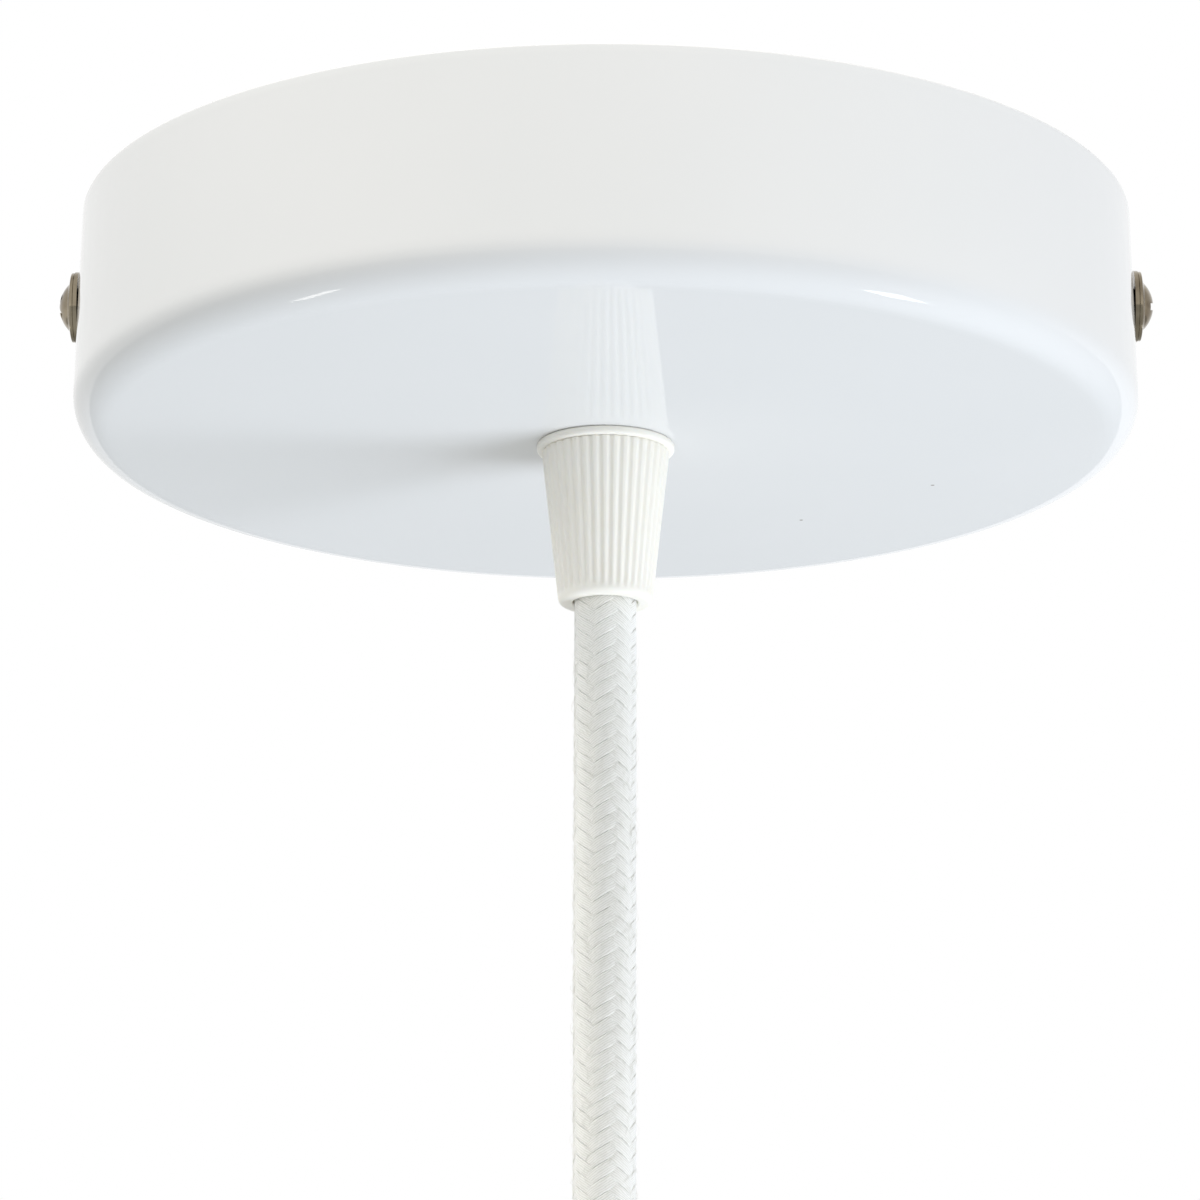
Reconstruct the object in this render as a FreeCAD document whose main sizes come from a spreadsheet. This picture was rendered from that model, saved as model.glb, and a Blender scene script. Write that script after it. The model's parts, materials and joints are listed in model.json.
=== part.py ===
"""Ceiling rose for a pendant lamp, in millimetres.

A pressed cup hangs by two side screws from a strap that is fixed to the ceiling. A fluted
cord grip in the middle of the cup holds the cable, whose cores go to a terminal block and an
earth screw on the strap. The origin is the middle of the ceiling plane, +Z points up and the
side screws lie along X.
"""
import FreeCAD, Part
import math
import os
import re

import Sketcher
from FreeCAD import Placement, Rotation, Vector

SIZES = {
    # Cup: drawn steel, a little narrower at the rim than at the corner
    "cup_radius": 60,
    "rim_inset": 0.6,
    "cup_height": 25.5,
    "cup_wall": 1,
    "corner_radius": 4,
    "rim_round": 0.3,
    # Strap: bent strip with a tab at each end for the side screws
    "strap_gap": 0.5,
    "strap_width": 18,
    "strap_thickness": 1.5,
    "bend_radius": 1,
    "tab_width": 12,
    "tab_length": 16,
    "tab_round": 3,
    "boss_diameter": 6.4,
    "boss_length": 1.5,
    "slot_spacing": 80,
    "slot_length": 12,
    "slot_width": 4.5,
    "supply_hole": 12,
    # Side screws and their washers
    "screw_drop": 9.2,
    "screw_diameter": 4,
    "screw_length": 8,
    "screw_point": 0.5,
    "thread_clearance": 0.05,
    "screw_hole_clearance": 0.3,
    "flange_diameter": 7.9,
    "flange_thickness": 0.4,
    "flange_round": 0.12,
    "flange_slope": 0.25,
    "dome_diameter": 5.5,
    "dome_height": 1.2,
    "dome_foot": 0.35,
    "recess_span": 3.4,
    "recess_width": 0.8,
    "recess_depth": 0.95,
    "washer_diameter": 8.1,
    "washer_thickness": 0.45,
    "washer_clearance": 0.15,
    "washer_seat": 0.03,
    # Cord grip: threaded stem with split jaws, fluted cap, collar, washer and nut
    "stem_diameter": 10,
    "stem_bore": 7.4,
    "stem_rise": 1.5,
    "stem_clearance": 0.2,
    "collar_diameter": 15.5,
    "collar_height": 0.95,
    "collar_round": 0.36,
    "cap_top_diameter": 14.4,
    "cap_bottom_diameter": 10.5,
    "cap_height": 17.7,
    "cap_round": 0.7,
    "cap_thread": 7,
    "mouth_length": 2,
    "mouth_clearance": 0.15,
    "flute_count": 38,
    "flute_radius": 0.42,
    "flute_depth": 0.2,
    "flute_stop": 0.85,
    "jaw_length": 5.5,
    "jaw_bore": 7.1,
    "jaw_clearance": 0.15,
    "jaw_lead": 0.5,
    "jaw_slit": 1,
    "jaw_slit_length": 8,
    "grip_washer_diameter": 20,
    "grip_washer_thickness": 1,
    "nut_flats": 14,
    "nut_thickness": 3,
    # Cable and its cores
    "cable_diameter": 7,
    "cable_rise": 2,
    "cable_length": 103,
    "core_diameter": 2.2,
    "core_circle": 1.3,
    "conductor_diameter": 1.1,
    "conductor_length": 8,
    # Terminal block with two poles
    "block_place": 20,
    "block_width": 15,
    "block_base": 2,
    "block_height": 12,
    "pole_pitch": 12,
    "barrel_diameter": 7.2,
    "barrel_drop": 4.6,
    "tower_diameter": 5.4,
    "tower_offset": 3.8,
    "tube_diameter": 4.6,
    "tube_bore": 3.2,
    "tube_length": 13,
    "tube_clearance": 0.05,
    "clamp_diameter": 2.6,
    "clamp_head_diameter": 3.4,
    "clamp_head_height": 1.6,
    "clamp_recess": 0.6,
    "clamp_slot": 0.5,
    "block_screw_diameter": 2.5,
    "block_head_diameter": 4.4,
    "block_head_height": 1.7,
    # Earth screw with its washer and ring terminal
    "earth_place": 17,
    "earth_head_diameter": 7,
    "earth_head_height": 2.4,
    "earth_washer_thickness": 0.8,
    "ring_diameter": 8.4,
    "ring_thickness": 0.8,
    "sleeve_diameter": 3.8,
    "sleeve_length": 5,
    "sleeve_start": 5,
    "sleeve_clearance": 0.1,
    "screw_recess": 0.1,
    # Free end of the cable: shrink sleeve, spread cores and end ferrules
    "shrink_diameter": 7.7,
    "shrink_length": 4.5,
    "shrink_clearance": 0.05,
    "tail_length": 16,
    "tail_spread": 2.5,
    "ferrule_diameter": 1.6,
    "ferrule_length": 6,
}

doc = FreeCAD.newDocument("ceiling_rose")
sheet = doc.addObject("Spreadsheet::Sheet", "dims")
for row, (alias, number) in enumerate(SIZES.items(), start=1):
    sheet.set(f"A{row}", alias)
    sheet.set(f"B{row}", str(number))
    sheet.setAlias(f"B{row}", alias)
doc.recompute()

# Places that several pieces share, as expressions of the sizes
STRAP_END = "sqrt((cup_radius - rim_inset - cup_wall - strap_gap)^2 - (strap_width / 2)^2)"
WASHER_SEAT = (
    "(cup_radius - rim_inset * (1 - (screw_drop + washer_diameter / 2) / cup_height) + washer_seat)"
)
HEAD_SEAT = f"({WASHER_SEAT} + washer_thickness)"
FLOOR = "(cup_wall - cup_height)"
NUT_SEAT = f"({FLOOR} + grip_washer_thickness)"
STEM_TOP = f"({NUT_SEAT} + nut_thickness + stem_rise)"
CABLE_TOP = f"({STEM_TOP} + cable_rise)"
CABLE_END = f"({CABLE_TOP} - cable_length)"
CAP_TOP = "(0 - cup_height - collar_height)"
CAP_BOTTOM = f"({CAP_TOP} - cap_height)"
CONE_TOP = f"({CAP_TOP} - cap_thread)"
CONE_BOTTOM = f"({CAP_BOTTOM} + mouth_length)"
STEM_RADIUS = "stem_diameter / 2"
CAP_BORE = f"({STEM_RADIUS} + thread_clearance)"
MOUTH = "(cable_diameter / 2 + mouth_clearance)"
CONE_SLOPE = f"(({CAP_BORE} - {MOUTH}) / ({CONE_TOP} - {CONE_BOTTOM}))"
POLE_HEIGHT = "(0 - strap_thickness - barrel_drop)"
TUBE_START = "(block_place - tube_length / 2)"
SLEEVE_HEIGHT = "(0 - strap_thickness - sleeve_diameter / 2 - sleeve_clearance)"


def bound(text):
    """The expression with each size's name pointed at its cell."""
    return re.sub(r"[a-z][a-z_]*", lambda word: "dims." * (word[0] in SIZES) + word[0], text)


def size(text):
    """The number that an expression gives."""
    found = sheet.evalExpression(bound(text))
    return float(getattr(found, "Value", found))


def bind(target, places):
    """Tie properties of an object to expressions of the sizes."""
    for path, text in places.items():
        target.setExpression(path, bound(text))


def place(target, base, rotation=Rotation()):
    """Put an object at a bound base point, turned by a fixed rotation."""
    target.Placement = Placement(Vector(), rotation)
    bind(target, {f"Placement.Base.{axis}": text for axis, text in zip("xyz", base)})


ALONG_X = Rotation(Vector(0, 1, 0), 90)
TURNED_ROUND = Rotation(Vector(0, 0, 1), 180)


def new_body(label):
    """An empty body with its own label."""
    body = doc.addObject("PartDesign::Body", label)
    body.Label = label
    return body


def new_sketch(body, role, lift="0"):
    """A sketch on one of the body's own origin planes, lifted along its normal."""
    plane = next(item for item in body.Origin.OriginFeatures if item.Role == role)
    sketch = body.newObject("Sketcher::SketchObject", body.Label + "_sketch")
    sketch.AttachmentSupport = (plane, "")
    sketch.MapMode = "FlatFace"
    bind(sketch, {"AttachmentOffset.Base.z": lift})
    return sketch


def hold_length(sketch, constraint, text):
    """Add a sized constraint and bind it."""
    index = sketch.addConstraint(constraint)
    bind(sketch, {f"Constraints[{index}]": text})


def pin_point(sketch, edge, end, x, y):
    """Hold one point of an edge at bound coordinates."""
    hold_length(sketch, Sketcher.Constraint("DistanceX", -1, 1, edge, end, size(x)), x)
    hold_length(sketch, Sketcher.Constraint("DistanceY", -1, 1, edge, end, size(y)), y)


def arc_about(centre, start, end, turn):
    """The arc from start to end, anticlockwise where turn is 1 and clockwise where it is -1."""
    first, last = (start, end) if turn > 0 else (end, start)
    angles = [math.atan2(point.y - centre.y, point.x - centre.x) for point in (first, last)]
    return Part.ArcOfCircle(Part.Circle(centre, Vector(0, 0, 1), (start - centre).Length), *angles)


def outline(sketch, corners):
    """A closed outline whose corners are bound coordinates.

    A corner may also carry an arc's centre and turn: then that arc leads from it to the next corner.
    """
    points = [Vector(size(corner[0]), size(corner[1]), 0) for corner in corners]
    edges = []
    for index, corner in enumerate(corners):
        start, end = points[index], points[(index + 1) % len(points)]
        if len(corner) == 2:
            edges.append((sketch.addGeometry(Part.LineSegment(start, end)), 1, 2))
            continue
        x, y, turn = corner[2:]
        edge = sketch.addGeometry(arc_about(Vector(size(x), size(y), 0), start, end, turn))
        edges.append((edge, 1, 2) if turn > 0 else (edge, 2, 1))
        if near(start.x, end.x):
            hold_length(sketch, Sketcher.Constraint("DistanceX", -1, 1, edge, 3, size(x)), x)
        else:
            hold_length(sketch, Sketcher.Constraint("DistanceY", -1, 1, edge, 3, size(y)), y)
    for index, (edge, first, last) in enumerate(edges):
        following = edges[(index + 1) % len(edges)]
        sketch.addConstraint(Sketcher.Constraint("Coincident", edge, last, following[0], following[1]))
        pin_point(sketch, edge, first, *corners[index][:2])


def rectangle(sketch, left, right, bottom, top):
    """A closed rectangle between bound limits."""
    outline(sketch, [(left, bottom), (right, bottom), (right, top), (left, top)])


def circle(sketch, x, y, radius):
    """A circle with a bound centre and radius."""
    edge = sketch.addGeometry(Part.Circle(Vector(size(x), size(y), 0), Vector(0, 0, 1), size(radius)))
    pin_point(sketch, edge, 3, x, y)
    hold_length(sketch, Sketcher.Constraint("Radius", edge, size(radius)), radius)


def slot(sketch, x, y, length, width):
    """A slot along X with round ends, centred on bound coordinates."""
    half = f"({length} - {width}) / 2"
    left, right = f"{x} - {half}", f"{x} + {half}"
    bottom, top = f"{y} - {width} / 2", f"{y} + {width} / 2"
    outline(sketch, [(left, bottom), (right, bottom, right, y, 1), (right, top), (left, top, left, y, 1)])


def turn_round(body, sketch, axis="V_Axis"):
    """Turn the sketch a full turn about one of its own axes."""
    feature = body.newObject("PartDesign::Revolution", body.Label + "_turned")
    feature.Profile = sketch
    feature.ReferenceAxis = (sketch, [axis])
    feature.Angle = 360
    doc.recompute()
    return feature


def pad(body, sketch, length, symmetric=False, reversed_way=False):
    """Raise the sketch to a bound length."""
    feature = body.newObject("PartDesign::Pad", body.Label + "_pad")
    feature.Profile = sketch
    feature.SideType = "Symmetric" if symmetric else "One side"
    feature.Reversed = reversed_way
    bind(feature, {"Length": length})
    doc.recompute()
    return feature


def pocket(body, sketch, length=None, symmetric=False):
    """Cut the sketch through everything, or to a bound depth, and see that it took something away."""
    before = body.Shape.Volume
    feature = body.newObject("PartDesign::Pocket", body.Label + "_cut")
    feature.Profile = sketch
    feature.SideType = "Symmetric" if symmetric else "One side"
    feature.Type = "Length" if length else "ThroughAll"
    if length:
        bind(feature, {"Length": length})
    doc.recompute()
    if body.Shape.Volume >= before:
        raise RuntimeError(f"{feature.Label} cuts nothing")
    return feature


def rod(body, kind, radius, height, base, rotation=Rotation()):
    """Add a cylinder to the body, or take one away."""
    feature = body.newObject(f"PartDesign::{kind}Cylinder", f"{body.Label}_{kind.lower()}_rod")
    bind(feature, {"Radius": radius, "Height": height})
    place(feature, base, rotation)
    doc.recompute()
    return feature


def pattern_round(body, feature, count):
    """Repeat a feature evenly round the body's Z axis."""
    axis = next(item for item in body.Origin.OriginFeatures if item.Role == "Z_Axis")
    pattern = body.newObject("PartDesign::PolarPattern", body.Label + "_pattern")
    pattern.Originals = [feature]
    pattern.Axis = (axis, [""])
    pattern.Angle = 360
    bind(pattern, {"Occurrences": count})
    body.Tip = pattern
    doc.recompute()
    return pattern


def soften(body, radius, wanted):
    """Round the edges of the body's last feature that wanted picks out."""
    base = body.Tip
    names = []
    for number, edge in enumerate(base.Shape.Edges, start=1):
        if not edge.Degenerated and wanted(edge):
            names.append(f"Edge{number}")
    feature = body.newObject("PartDesign::Fillet", body.Label + "_round")
    feature.Base = (base, names)
    bind(feature, {"Radius": radius})
    doc.recompute()
    return feature


def near(first, second):
    """Whether two lengths are the same."""
    return abs(first - second) < 1e-4


def ring(radius, height):
    """Picks the level circle of a given radius and height."""
    wide, high = size(radius), size(height)

    def picks(edge):
        level = isinstance(edge.Curve, Part.Circle) and near(abs(edge.Curve.Axis.z), 1)
        return level and near(edge.Curve.Radius, wide) and near(edge.Curve.Center.z, high)

    return picks


def rim_of(radius):
    """Picks every circle of a given radius."""
    wide = size(radius)
    return lambda edge: isinstance(edge.Curve, Part.Circle) and near(edge.Curve.Radius, wide)


def straight(along, **at):
    """Picks the straight edges along one axis whose other coordinates have given sizes."""
    wanted = {axis: size(text) for axis, text in at.items()}

    def picks(edge):
        if not isinstance(edge.Curve, Part.Line) or not near(abs(getattr(edge.Curve.Direction, along)), 1):
            return False
        middle = edge.CenterOfMass
        return all(near(abs(getattr(middle, axis)), abs(value)) for axis, value in wanted.items())

    return picks


def turned_piece(label, corners):
    """A body turned about Z from a closed outline of radii and heights."""
    body = new_body(label)
    sketch = new_sketch(body, "XZ_Plane")
    outline(sketch, corners)
    turn_round(body, sketch)
    return body


def turned_ring(label, inner, outer, bottom, top):
    """A plain ring about Z."""
    return turned_piece(label, [(inner, bottom), (outer, bottom), (outer, top), (inner, top)])


def canopy_cup():
    """The pressed cup, open at the ceiling, with a stem hole and two side screw holes."""
    hole = f"{STEM_RADIUS} + stem_clearance"
    body = turned_piece("canopy_cup", [
        ("cup_radius - rim_inset", "0"),
        ("cup_radius", "-cup_height"),
        (hole, "-cup_height"),
        (hole, FLOOR),
        ("cup_radius - cup_wall", FLOOR),
        ("cup_radius - rim_inset - cup_wall", "0"),
    ])
    soften(body, "corner_radius", ring("cup_radius", "-cup_height"))
    soften(body, "corner_radius - cup_wall", ring("cup_radius - cup_wall", FLOOR))
    soften(body, "rim_round", ring("cup_radius - rim_inset", "0"))
    holes = new_sketch(body, "YZ_Plane")
    circle(holes, "0", "-screw_drop", "screw_diameter / 2 + screw_hole_clearance")
    pocket(body, holes, symmetric=True)
    return body


def ceiling_bracket():
    """The strap under the ceiling: a flat with slots and holes, and a tapped tab at each end."""
    body = new_body("ceiling_bracket")
    section = new_sketch(body, "XZ_Plane")
    inside = f"{STRAP_END} - strap_thickness"
    outline(section, [
        (f"-{STRAP_END}", "0"),
        (STRAP_END, "0"),
        (STRAP_END, "-tab_length"),
        (inside, "-tab_length"),
        (inside, "-strap_thickness"),
        (f"-({inside})", "-strap_thickness"),
        (f"-({inside})", "-tab_length"),
        (f"-{STRAP_END}", "-tab_length"),
    ])
    pad(body, section, "strap_width", symmetric=True)
    soften(body, "bend_radius", straight("y", x=inside, z="-strap_thickness"))
    soften(body, "bend_radius + strap_thickness", straight("y", x=STRAP_END, z="0"))
    shoulders = new_sketch(body, "YZ_Plane")
    for side in ("", "-"):
        reach = [f"{side}tab_width / 2", f"{side}strap_width"]
        left, right = reach if side == "" else reach[::-1]
        rectangle(shoulders, left, right, "-2 * tab_length", "-strap_thickness - 2 * bend_radius")
    pocket(body, shoulders, symmetric=True)
    soften(body, "tab_round", straight("x", y="tab_width / 2", z="-tab_length"))
    for start in (f"{inside} - boss_length", f"strap_thickness / 2 - {STRAP_END}"):
        length = "boss_length + strap_thickness / 2"
        rod(body, "Additive", "boss_diameter / 2", length, (start, "0", "-screw_drop"), ALONG_X)
    taps = new_sketch(body, "YZ_Plane")
    circle(taps, "0", "-screw_drop", "screw_diameter / 2 + thread_clearance")
    pocket(body, taps, symmetric=True)
    holes = new_sketch(body, "XY_Plane")
    slot(holes, "slot_spacing / 2", "0", "slot_length", "slot_width")
    slot(holes, "-slot_spacing / 2", "0", "slot_length", "slot_width")
    circle(holes, "0", "0", "supply_hole / 2")
    circle(holes, "-earth_place", "0", "screw_diameter / 2 + thread_clearance")
    circle(holes, "block_place", "0", "block_screw_diameter / 2 + thread_clearance")
    pocket(body, holes)
    return body


def side_screw(label, rotation, recess_turn):
    """A machine screw with a flanged dome head and a cross recess, pointing inwards."""
    body = new_body(label)
    section = new_sketch(body, "XZ_Plane")
    tip = f"{HEAD_SEAT} - screw_length"
    rim = f"{HEAD_SEAT} + flange_thickness"
    foot = f"{rim} + flange_slope"
    crown = f"{foot} + dome_height"
    dome = "((dome_diameter / 2)^2 + dome_height^2) / (2 * dome_height)"
    outline(section, [
        (tip, "0"),
        (tip, "screw_diameter / 2 - screw_point"),
        (f"{tip} + screw_point", "screw_diameter / 2"),
        (HEAD_SEAT, "screw_diameter / 2"),
        (HEAD_SEAT, "flange_diameter / 2"),
        (rim, "flange_diameter / 2"),
        (foot, "dome_diameter / 2", f"{crown} - {dome}", "0", -1),
        (crown, "0"),
    ])
    turn_round(body, section, "H_Axis")
    soften(body, "flange_round", rim_of("flange_diameter / 2"))
    soften(body, "dome_foot", rim_of("dome_diameter / 2"))
    recess = new_sketch(body, "YZ_Plane", crown)
    arm, side = "recess_span / 2", "recess_width / 2"
    quarter = [(arm, f"-{side}"), (arm, side), (side, side)]
    corners = []
    for _ in range(4):
        corners += quarter
        quarter = [(f"-({y})", x) for x, y in quarter]
    outline(recess, corners)
    pocket(body, recess, "recess_depth")
    place(body, ("0", "0", "-screw_drop"), rotation * Rotation(Vector(1, 0, 0), recess_turn))
    return body


def side_washer(label, rotation):
    """The plain washer between a side screw's head and the cup."""
    body = new_body(label)
    section = new_sketch(body, "XZ_Plane")
    hole = "screw_diameter / 2 + washer_clearance"
    rectangle(section, WASHER_SEAT, HEAD_SEAT, hole, "washer_diameter / 2")
    turn_round(body, section, "H_Axis")
    place(body, ("0", "0", "-screw_drop"), rotation)
    return body


def grip_collar():
    """The smooth collar between the fluted cap and the cup."""
    hole = f"{STEM_RADIUS} + stem_clearance"
    body = turned_ring("grip_collar", hole, "collar_diameter / 2", CAP_TOP, "-cup_height")
    for height in (CAP_TOP, "-cup_height"):
        soften(body, "collar_round", ring("collar_diameter / 2", height))
    return body


def grip_cap():
    """The fluted cap: threaded at its top, with a cone inside that closes the jaws on the cable."""
    body = turned_piece("grip_cap", [
        (CAP_BORE, CAP_TOP),
        (CAP_BORE, CONE_TOP),
        (MOUTH, CONE_BOTTOM),
        (MOUTH, CAP_BOTTOM),
        ("cap_bottom_diameter / 2", CAP_BOTTOM),
        ("cap_top_diameter / 2", CAP_TOP),
    ])
    soften(body, "cap_round", ring("cap_bottom_diameter / 2", CAP_BOTTOM))
    soften(body, "cap_round / 2", ring(MOUTH, CAP_BOTTOM))
    slope = "((cap_top_diameter - cap_bottom_diameter) / 2 / cap_height)"
    lean = f"atan({slope})"
    proud = "(flute_radius - flute_depth)"
    flute = rod(
        body,
        "Subtractive",
        "flute_radius",
        f"cap_height / cos({lean})",
        (
            f"cap_bottom_diameter / 2 + flute_stop * {slope} + {proud} * cos({lean})",
            "0",
            f"{CAP_BOTTOM} + flute_stop - {proud} * sin({lean})",
        ),
        Rotation(Vector(0, 1, 0), 1),
    )
    bind(flute, {"Placement.Rotation.Angle": lean})
    doc.recompute()
    pattern_round(body, flute, "flute_count")
    return body


def grip_stem():
    """The threaded stem: a tube whose lower end is split into tapered jaws."""
    jaw_end = f"({CONE_TOP} - jaw_length)"
    body = turned_piece("grip_stem", [
        ("stem_bore / 2", STEM_TOP),
        ("stem_bore / 2", CONE_TOP),
        ("jaw_bore / 2", f"{CONE_TOP} - jaw_lead"),
        ("jaw_bore / 2", jaw_end),
        (f"{CAP_BORE} - jaw_clearance - jaw_length * {CONE_SLOPE}", jaw_end),
        (f"{CAP_BORE} - jaw_clearance", CONE_TOP),
        (STEM_RADIUS, f"{CONE_TOP} + jaw_lead"),
        (STEM_RADIUS, STEM_TOP),
    ])
    slit = new_sketch(body, "XZ_Plane")
    slit_top = f"{jaw_end} + jaw_slit_length"
    rectangle(slit, "-jaw_slit / 2", "jaw_slit / 2", f"{jaw_end} - jaw_lead", slit_top)
    first = pocket(body, slit, symmetric=True)
    axis = next(item for item in body.Origin.OriginFeatures if item.Role == "Z_Axis")
    crossed = body.newObject("PartDesign::PolarPattern", "grip_stem_slits")
    crossed.Originals = [first]
    crossed.Axis = (axis, [""])
    crossed.Angle = 180
    crossed.Occurrences = 2
    body.Tip = crossed
    doc.recompute()
    return body


def grip_washer():
    """The steel washer under the nut, inside the cup."""
    hole = f"{STEM_RADIUS} + stem_clearance"
    return turned_ring("grip_washer", hole, "grip_washer_diameter / 2", FLOOR, NUT_SEAT)


def grip_nut():
    """The thin hexagon nut that holds the stem in the cup, with turned corners."""
    body = new_body("grip_nut")
    hexagon = new_sketch(body, "XY_Plane", NUT_SEAT)
    corner = "nut_flats / sqrt(3)"
    turns = range(0, 360, 60)
    outline(hexagon, [(f"{corner} * cos({turn} deg)", f"{corner} * sin({turn} deg)") for turn in turns])
    circle(hexagon, "0", "0", f"{STEM_RADIUS} + thread_clearance")
    pad(body, hexagon, "nut_thickness")
    reach = f"({corner} - nut_flats / 2)"
    for face, way in ((f"{NUT_SEAT} + nut_thickness", "-"), (NUT_SEAT, "+")):
        section = new_sketch(body, "XZ_Plane")
        outline(section, [
            ("nut_flats / 2", face),
            (f"{corner} + {reach}", face),
            (f"{corner} + {reach}", f"{face} {way} 2 * {reach} * tan(30 deg)"),
        ])
        groove = body.newObject("PartDesign::Groove", "grip_nut_corners")
        groove.Profile = section
        groove.ReferenceAxis = (section, ["V_Axis"])
        groove.Angle = 360
        doc.recompute()
    return body


def cylinder(label, radius, height, base, rotation=Rotation()):
    """A plain cylinder with bound sizes."""
    solid = doc.addObject("Part::Cylinder", label)
    solid.Label = label
    bind(solid, {"Radius": radius, "Height": height})
    place(solid, base, rotation)
    return solid


def joined(label, kind, first, second):
    """Two solids put together by a cut or a fuse."""
    result = doc.addObject(f"Part::{kind}", label)
    result.Label = label
    result.Base = first
    result.Tool = second
    return result


def group(label, solids):
    """Separate solids that share one node."""
    result = doc.addObject("Part::Compound", label)
    result.Label = label
    result.Links = solids
    return result


def headed_screw(label, axis_x, axis_y, seat, radius, length, head_radius, head_height):
    """A screw that stands head down under its seat, with a straight slot across its head."""
    bottom = f"{seat} - {head_height}"
    half_head = f"{head_height} / 2"
    shank_base = (axis_x, axis_y, f"{seat} - {half_head}")
    shank = cylinder(f"{label}_shank", radius, f"{length} + {half_head}", shank_base)
    head = cylinder(f"{label}_head", head_radius, head_height, (axis_x, axis_y, bottom))
    blank = joined(f"{label}_blank", "Fuse", shank, head)
    cutter = doc.addObject("Part::Box", f"{label}_slot")
    reach = f"(2 * {head_radius})"
    bind(cutter, {"Length": f"2 * {reach}", "Width": "clamp_slot", "Height": half_head})
    place(cutter, (f"{axis_x} - {reach}", f"{axis_y} - clamp_slot / 2", bottom))
    return joined(label, "Cut", blank, cutter)


POLES = ("pole_pitch / 2", "-pole_pitch / 2")
TOWERS = ("block_place - tower_offset", "block_place + tower_offset")


def terminal_block():
    """The moulded block: a base plate, a barrel for each pole and a tower for each clamp screw."""
    body = new_body("terminal_block")
    plate = new_sketch(body, "XY_Plane", "-strap_thickness")
    left, right = "block_place - block_width / 2", "block_place + block_width / 2"
    half = "pole_pitch / 2 + barrel_diameter / 2"
    rectangle(plate, left, right, f"-({half})", half)
    pad(body, plate, "block_base", reversed_way=True)
    mouth = "-strap_thickness - block_height"
    for pole in POLES:
        rod(body, "Additive", "barrel_diameter / 2", "block_width", (left, pole, POLE_HEIGHT), ALONG_X)
        for tower in TOWERS:
            height = "block_height - barrel_drop"
            rod(body, "Additive", "tower_diameter / 2", height, (tower, pole, mouth))
    for pole in POLES:
        bore = "tube_diameter / 2 + tube_clearance"
        rod(body, "Subtractive", bore, "block_width", (left, pole, POLE_HEIGHT), ALONG_X)
        for tower in TOWERS:
            well = "clamp_head_diameter / 2 + tube_clearance"
            rod(body, "Subtractive", well, "block_height - barrel_drop", (tower, pole, mouth))
    hole = "block_screw_diameter / 2 + thread_clearance"
    rod(body, "Subtractive", hole, "block_base", ("block_place", "0", "-strap_thickness - block_base"))
    return body


def terminal_tubes():
    """The brass tube of each pole, with a tapped hole for each clamp screw."""
    tubes = []
    for number, pole in enumerate(POLES, start=1):
        at = (TUBE_START, pole, POLE_HEIGHT)
        outside = cylinder(f"tube_{number}_outside", "tube_diameter / 2", "tube_length", at, ALONG_X)
        bore = cylinder(f"tube_{number}_bore", "tube_bore / 2", "tube_length", at, ALONG_X)
        tube = joined(f"tube_{number}", "Cut", outside, bore)
        for side, tower in enumerate(TOWERS, start=1):
            tap = cylinder(
                f"tube_{number}_tap_{side}",
                "clamp_diameter / 2 + thread_clearance",
                "tube_diameter / 2",
                (tower, pole, f"{POLE_HEIGHT} - tube_diameter / 2"),
            )
            tube = joined(f"tube_{number}_tapped_{side}", "Cut", tube, tap)
        tubes.append(tube)
    return group("terminal_tubes", tubes)


def terminal_screws():
    """The clamp screws, one in each tower, down on the conductors."""
    seat = "(0 - strap_thickness - block_height + clamp_recess + clamp_head_height)"
    reach = f"({POLE_HEIGHT} - conductor_diameter / 2 - thread_clearance - {seat})"
    screws = []
    for row, pole in enumerate(POLES, start=1):
        for side, tower in enumerate(TOWERS, start=1):
            screws.append(headed_screw(
                f"clamp_{row}_{side}", tower, pole, seat,
                "clamp_diameter / 2", reach, "clamp_head_diameter / 2", "clamp_head_height",
            ))
    return group("terminal_screws", screws)


def block_screw():
    """The screw that holds the terminal block to the strap, ending short of the ceiling."""
    seat = "(0 - strap_thickness - block_base)"
    reach = "(block_base + strap_thickness - screw_recess)"
    return headed_screw(
        "block_screw", "block_place", "0", seat,
        "block_screw_diameter / 2", reach, "block_head_diameter / 2", "block_head_height",
    )


EARTH_STACK = "(ring_thickness + earth_washer_thickness)"


def earth_screw():
    """The earth screw, through its washer and the ring terminal into the strap."""
    seat = f"(0 - strap_thickness - {EARTH_STACK})"
    reach = f"({EARTH_STACK} + strap_thickness - screw_recess)"
    return headed_screw(
        "earth_screw", "-earth_place", "0", seat,
        "screw_diameter / 2", reach, "earth_head_diameter / 2", "earth_head_height",
    )


def earth_washer():
    """The washer between the earth screw's head and the ring terminal."""
    top = "-strap_thickness - ring_thickness"
    hole = "screw_diameter / 2 + washer_clearance"
    body = turned_ring("earth_washer", hole, "washer_diameter / 2", f"{top} - earth_washer_thickness", top)
    place(body, ("-earth_place", "0", "0"))
    return body


def earth_ring():
    """The ring terminal: a flat eye with a sleeve that is crimped on the earth core."""
    body = new_body("earth_ring")
    eye = new_sketch(body, "XY_Plane", "-strap_thickness")
    circle(eye, "0", "0", "ring_diameter / 2")
    pad(body, eye, "ring_thickness", reversed_way=True)
    tongue = new_sketch(body, "XY_Plane", "-strap_thickness")
    side = "sleeve_diameter / 2"
    rectangle(tongue, "0", "sleeve_start + sleeve_length / 2", f"-{side}", side)
    pad(body, tongue, "ring_thickness", reversed_way=True)
    sleeve = ("sleeve_start", "0", SLEEVE_HEIGHT)
    rod(body, "Additive", side, "sleeve_length", sleeve, ALONG_X)
    bore = "core_diameter / 2 + sleeve_clearance"
    rod(body, "Subtractive", bore, "sleeve_length", sleeve, ALONG_X)
    hole = new_sketch(body, "XY_Plane", "-strap_thickness")
    circle(hole, "0", "0", "screw_diameter / 2 + washer_clearance")
    pocket(body, hole, "ring_thickness")
    place(body, ("-earth_place", "0", "0"))
    return body


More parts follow.
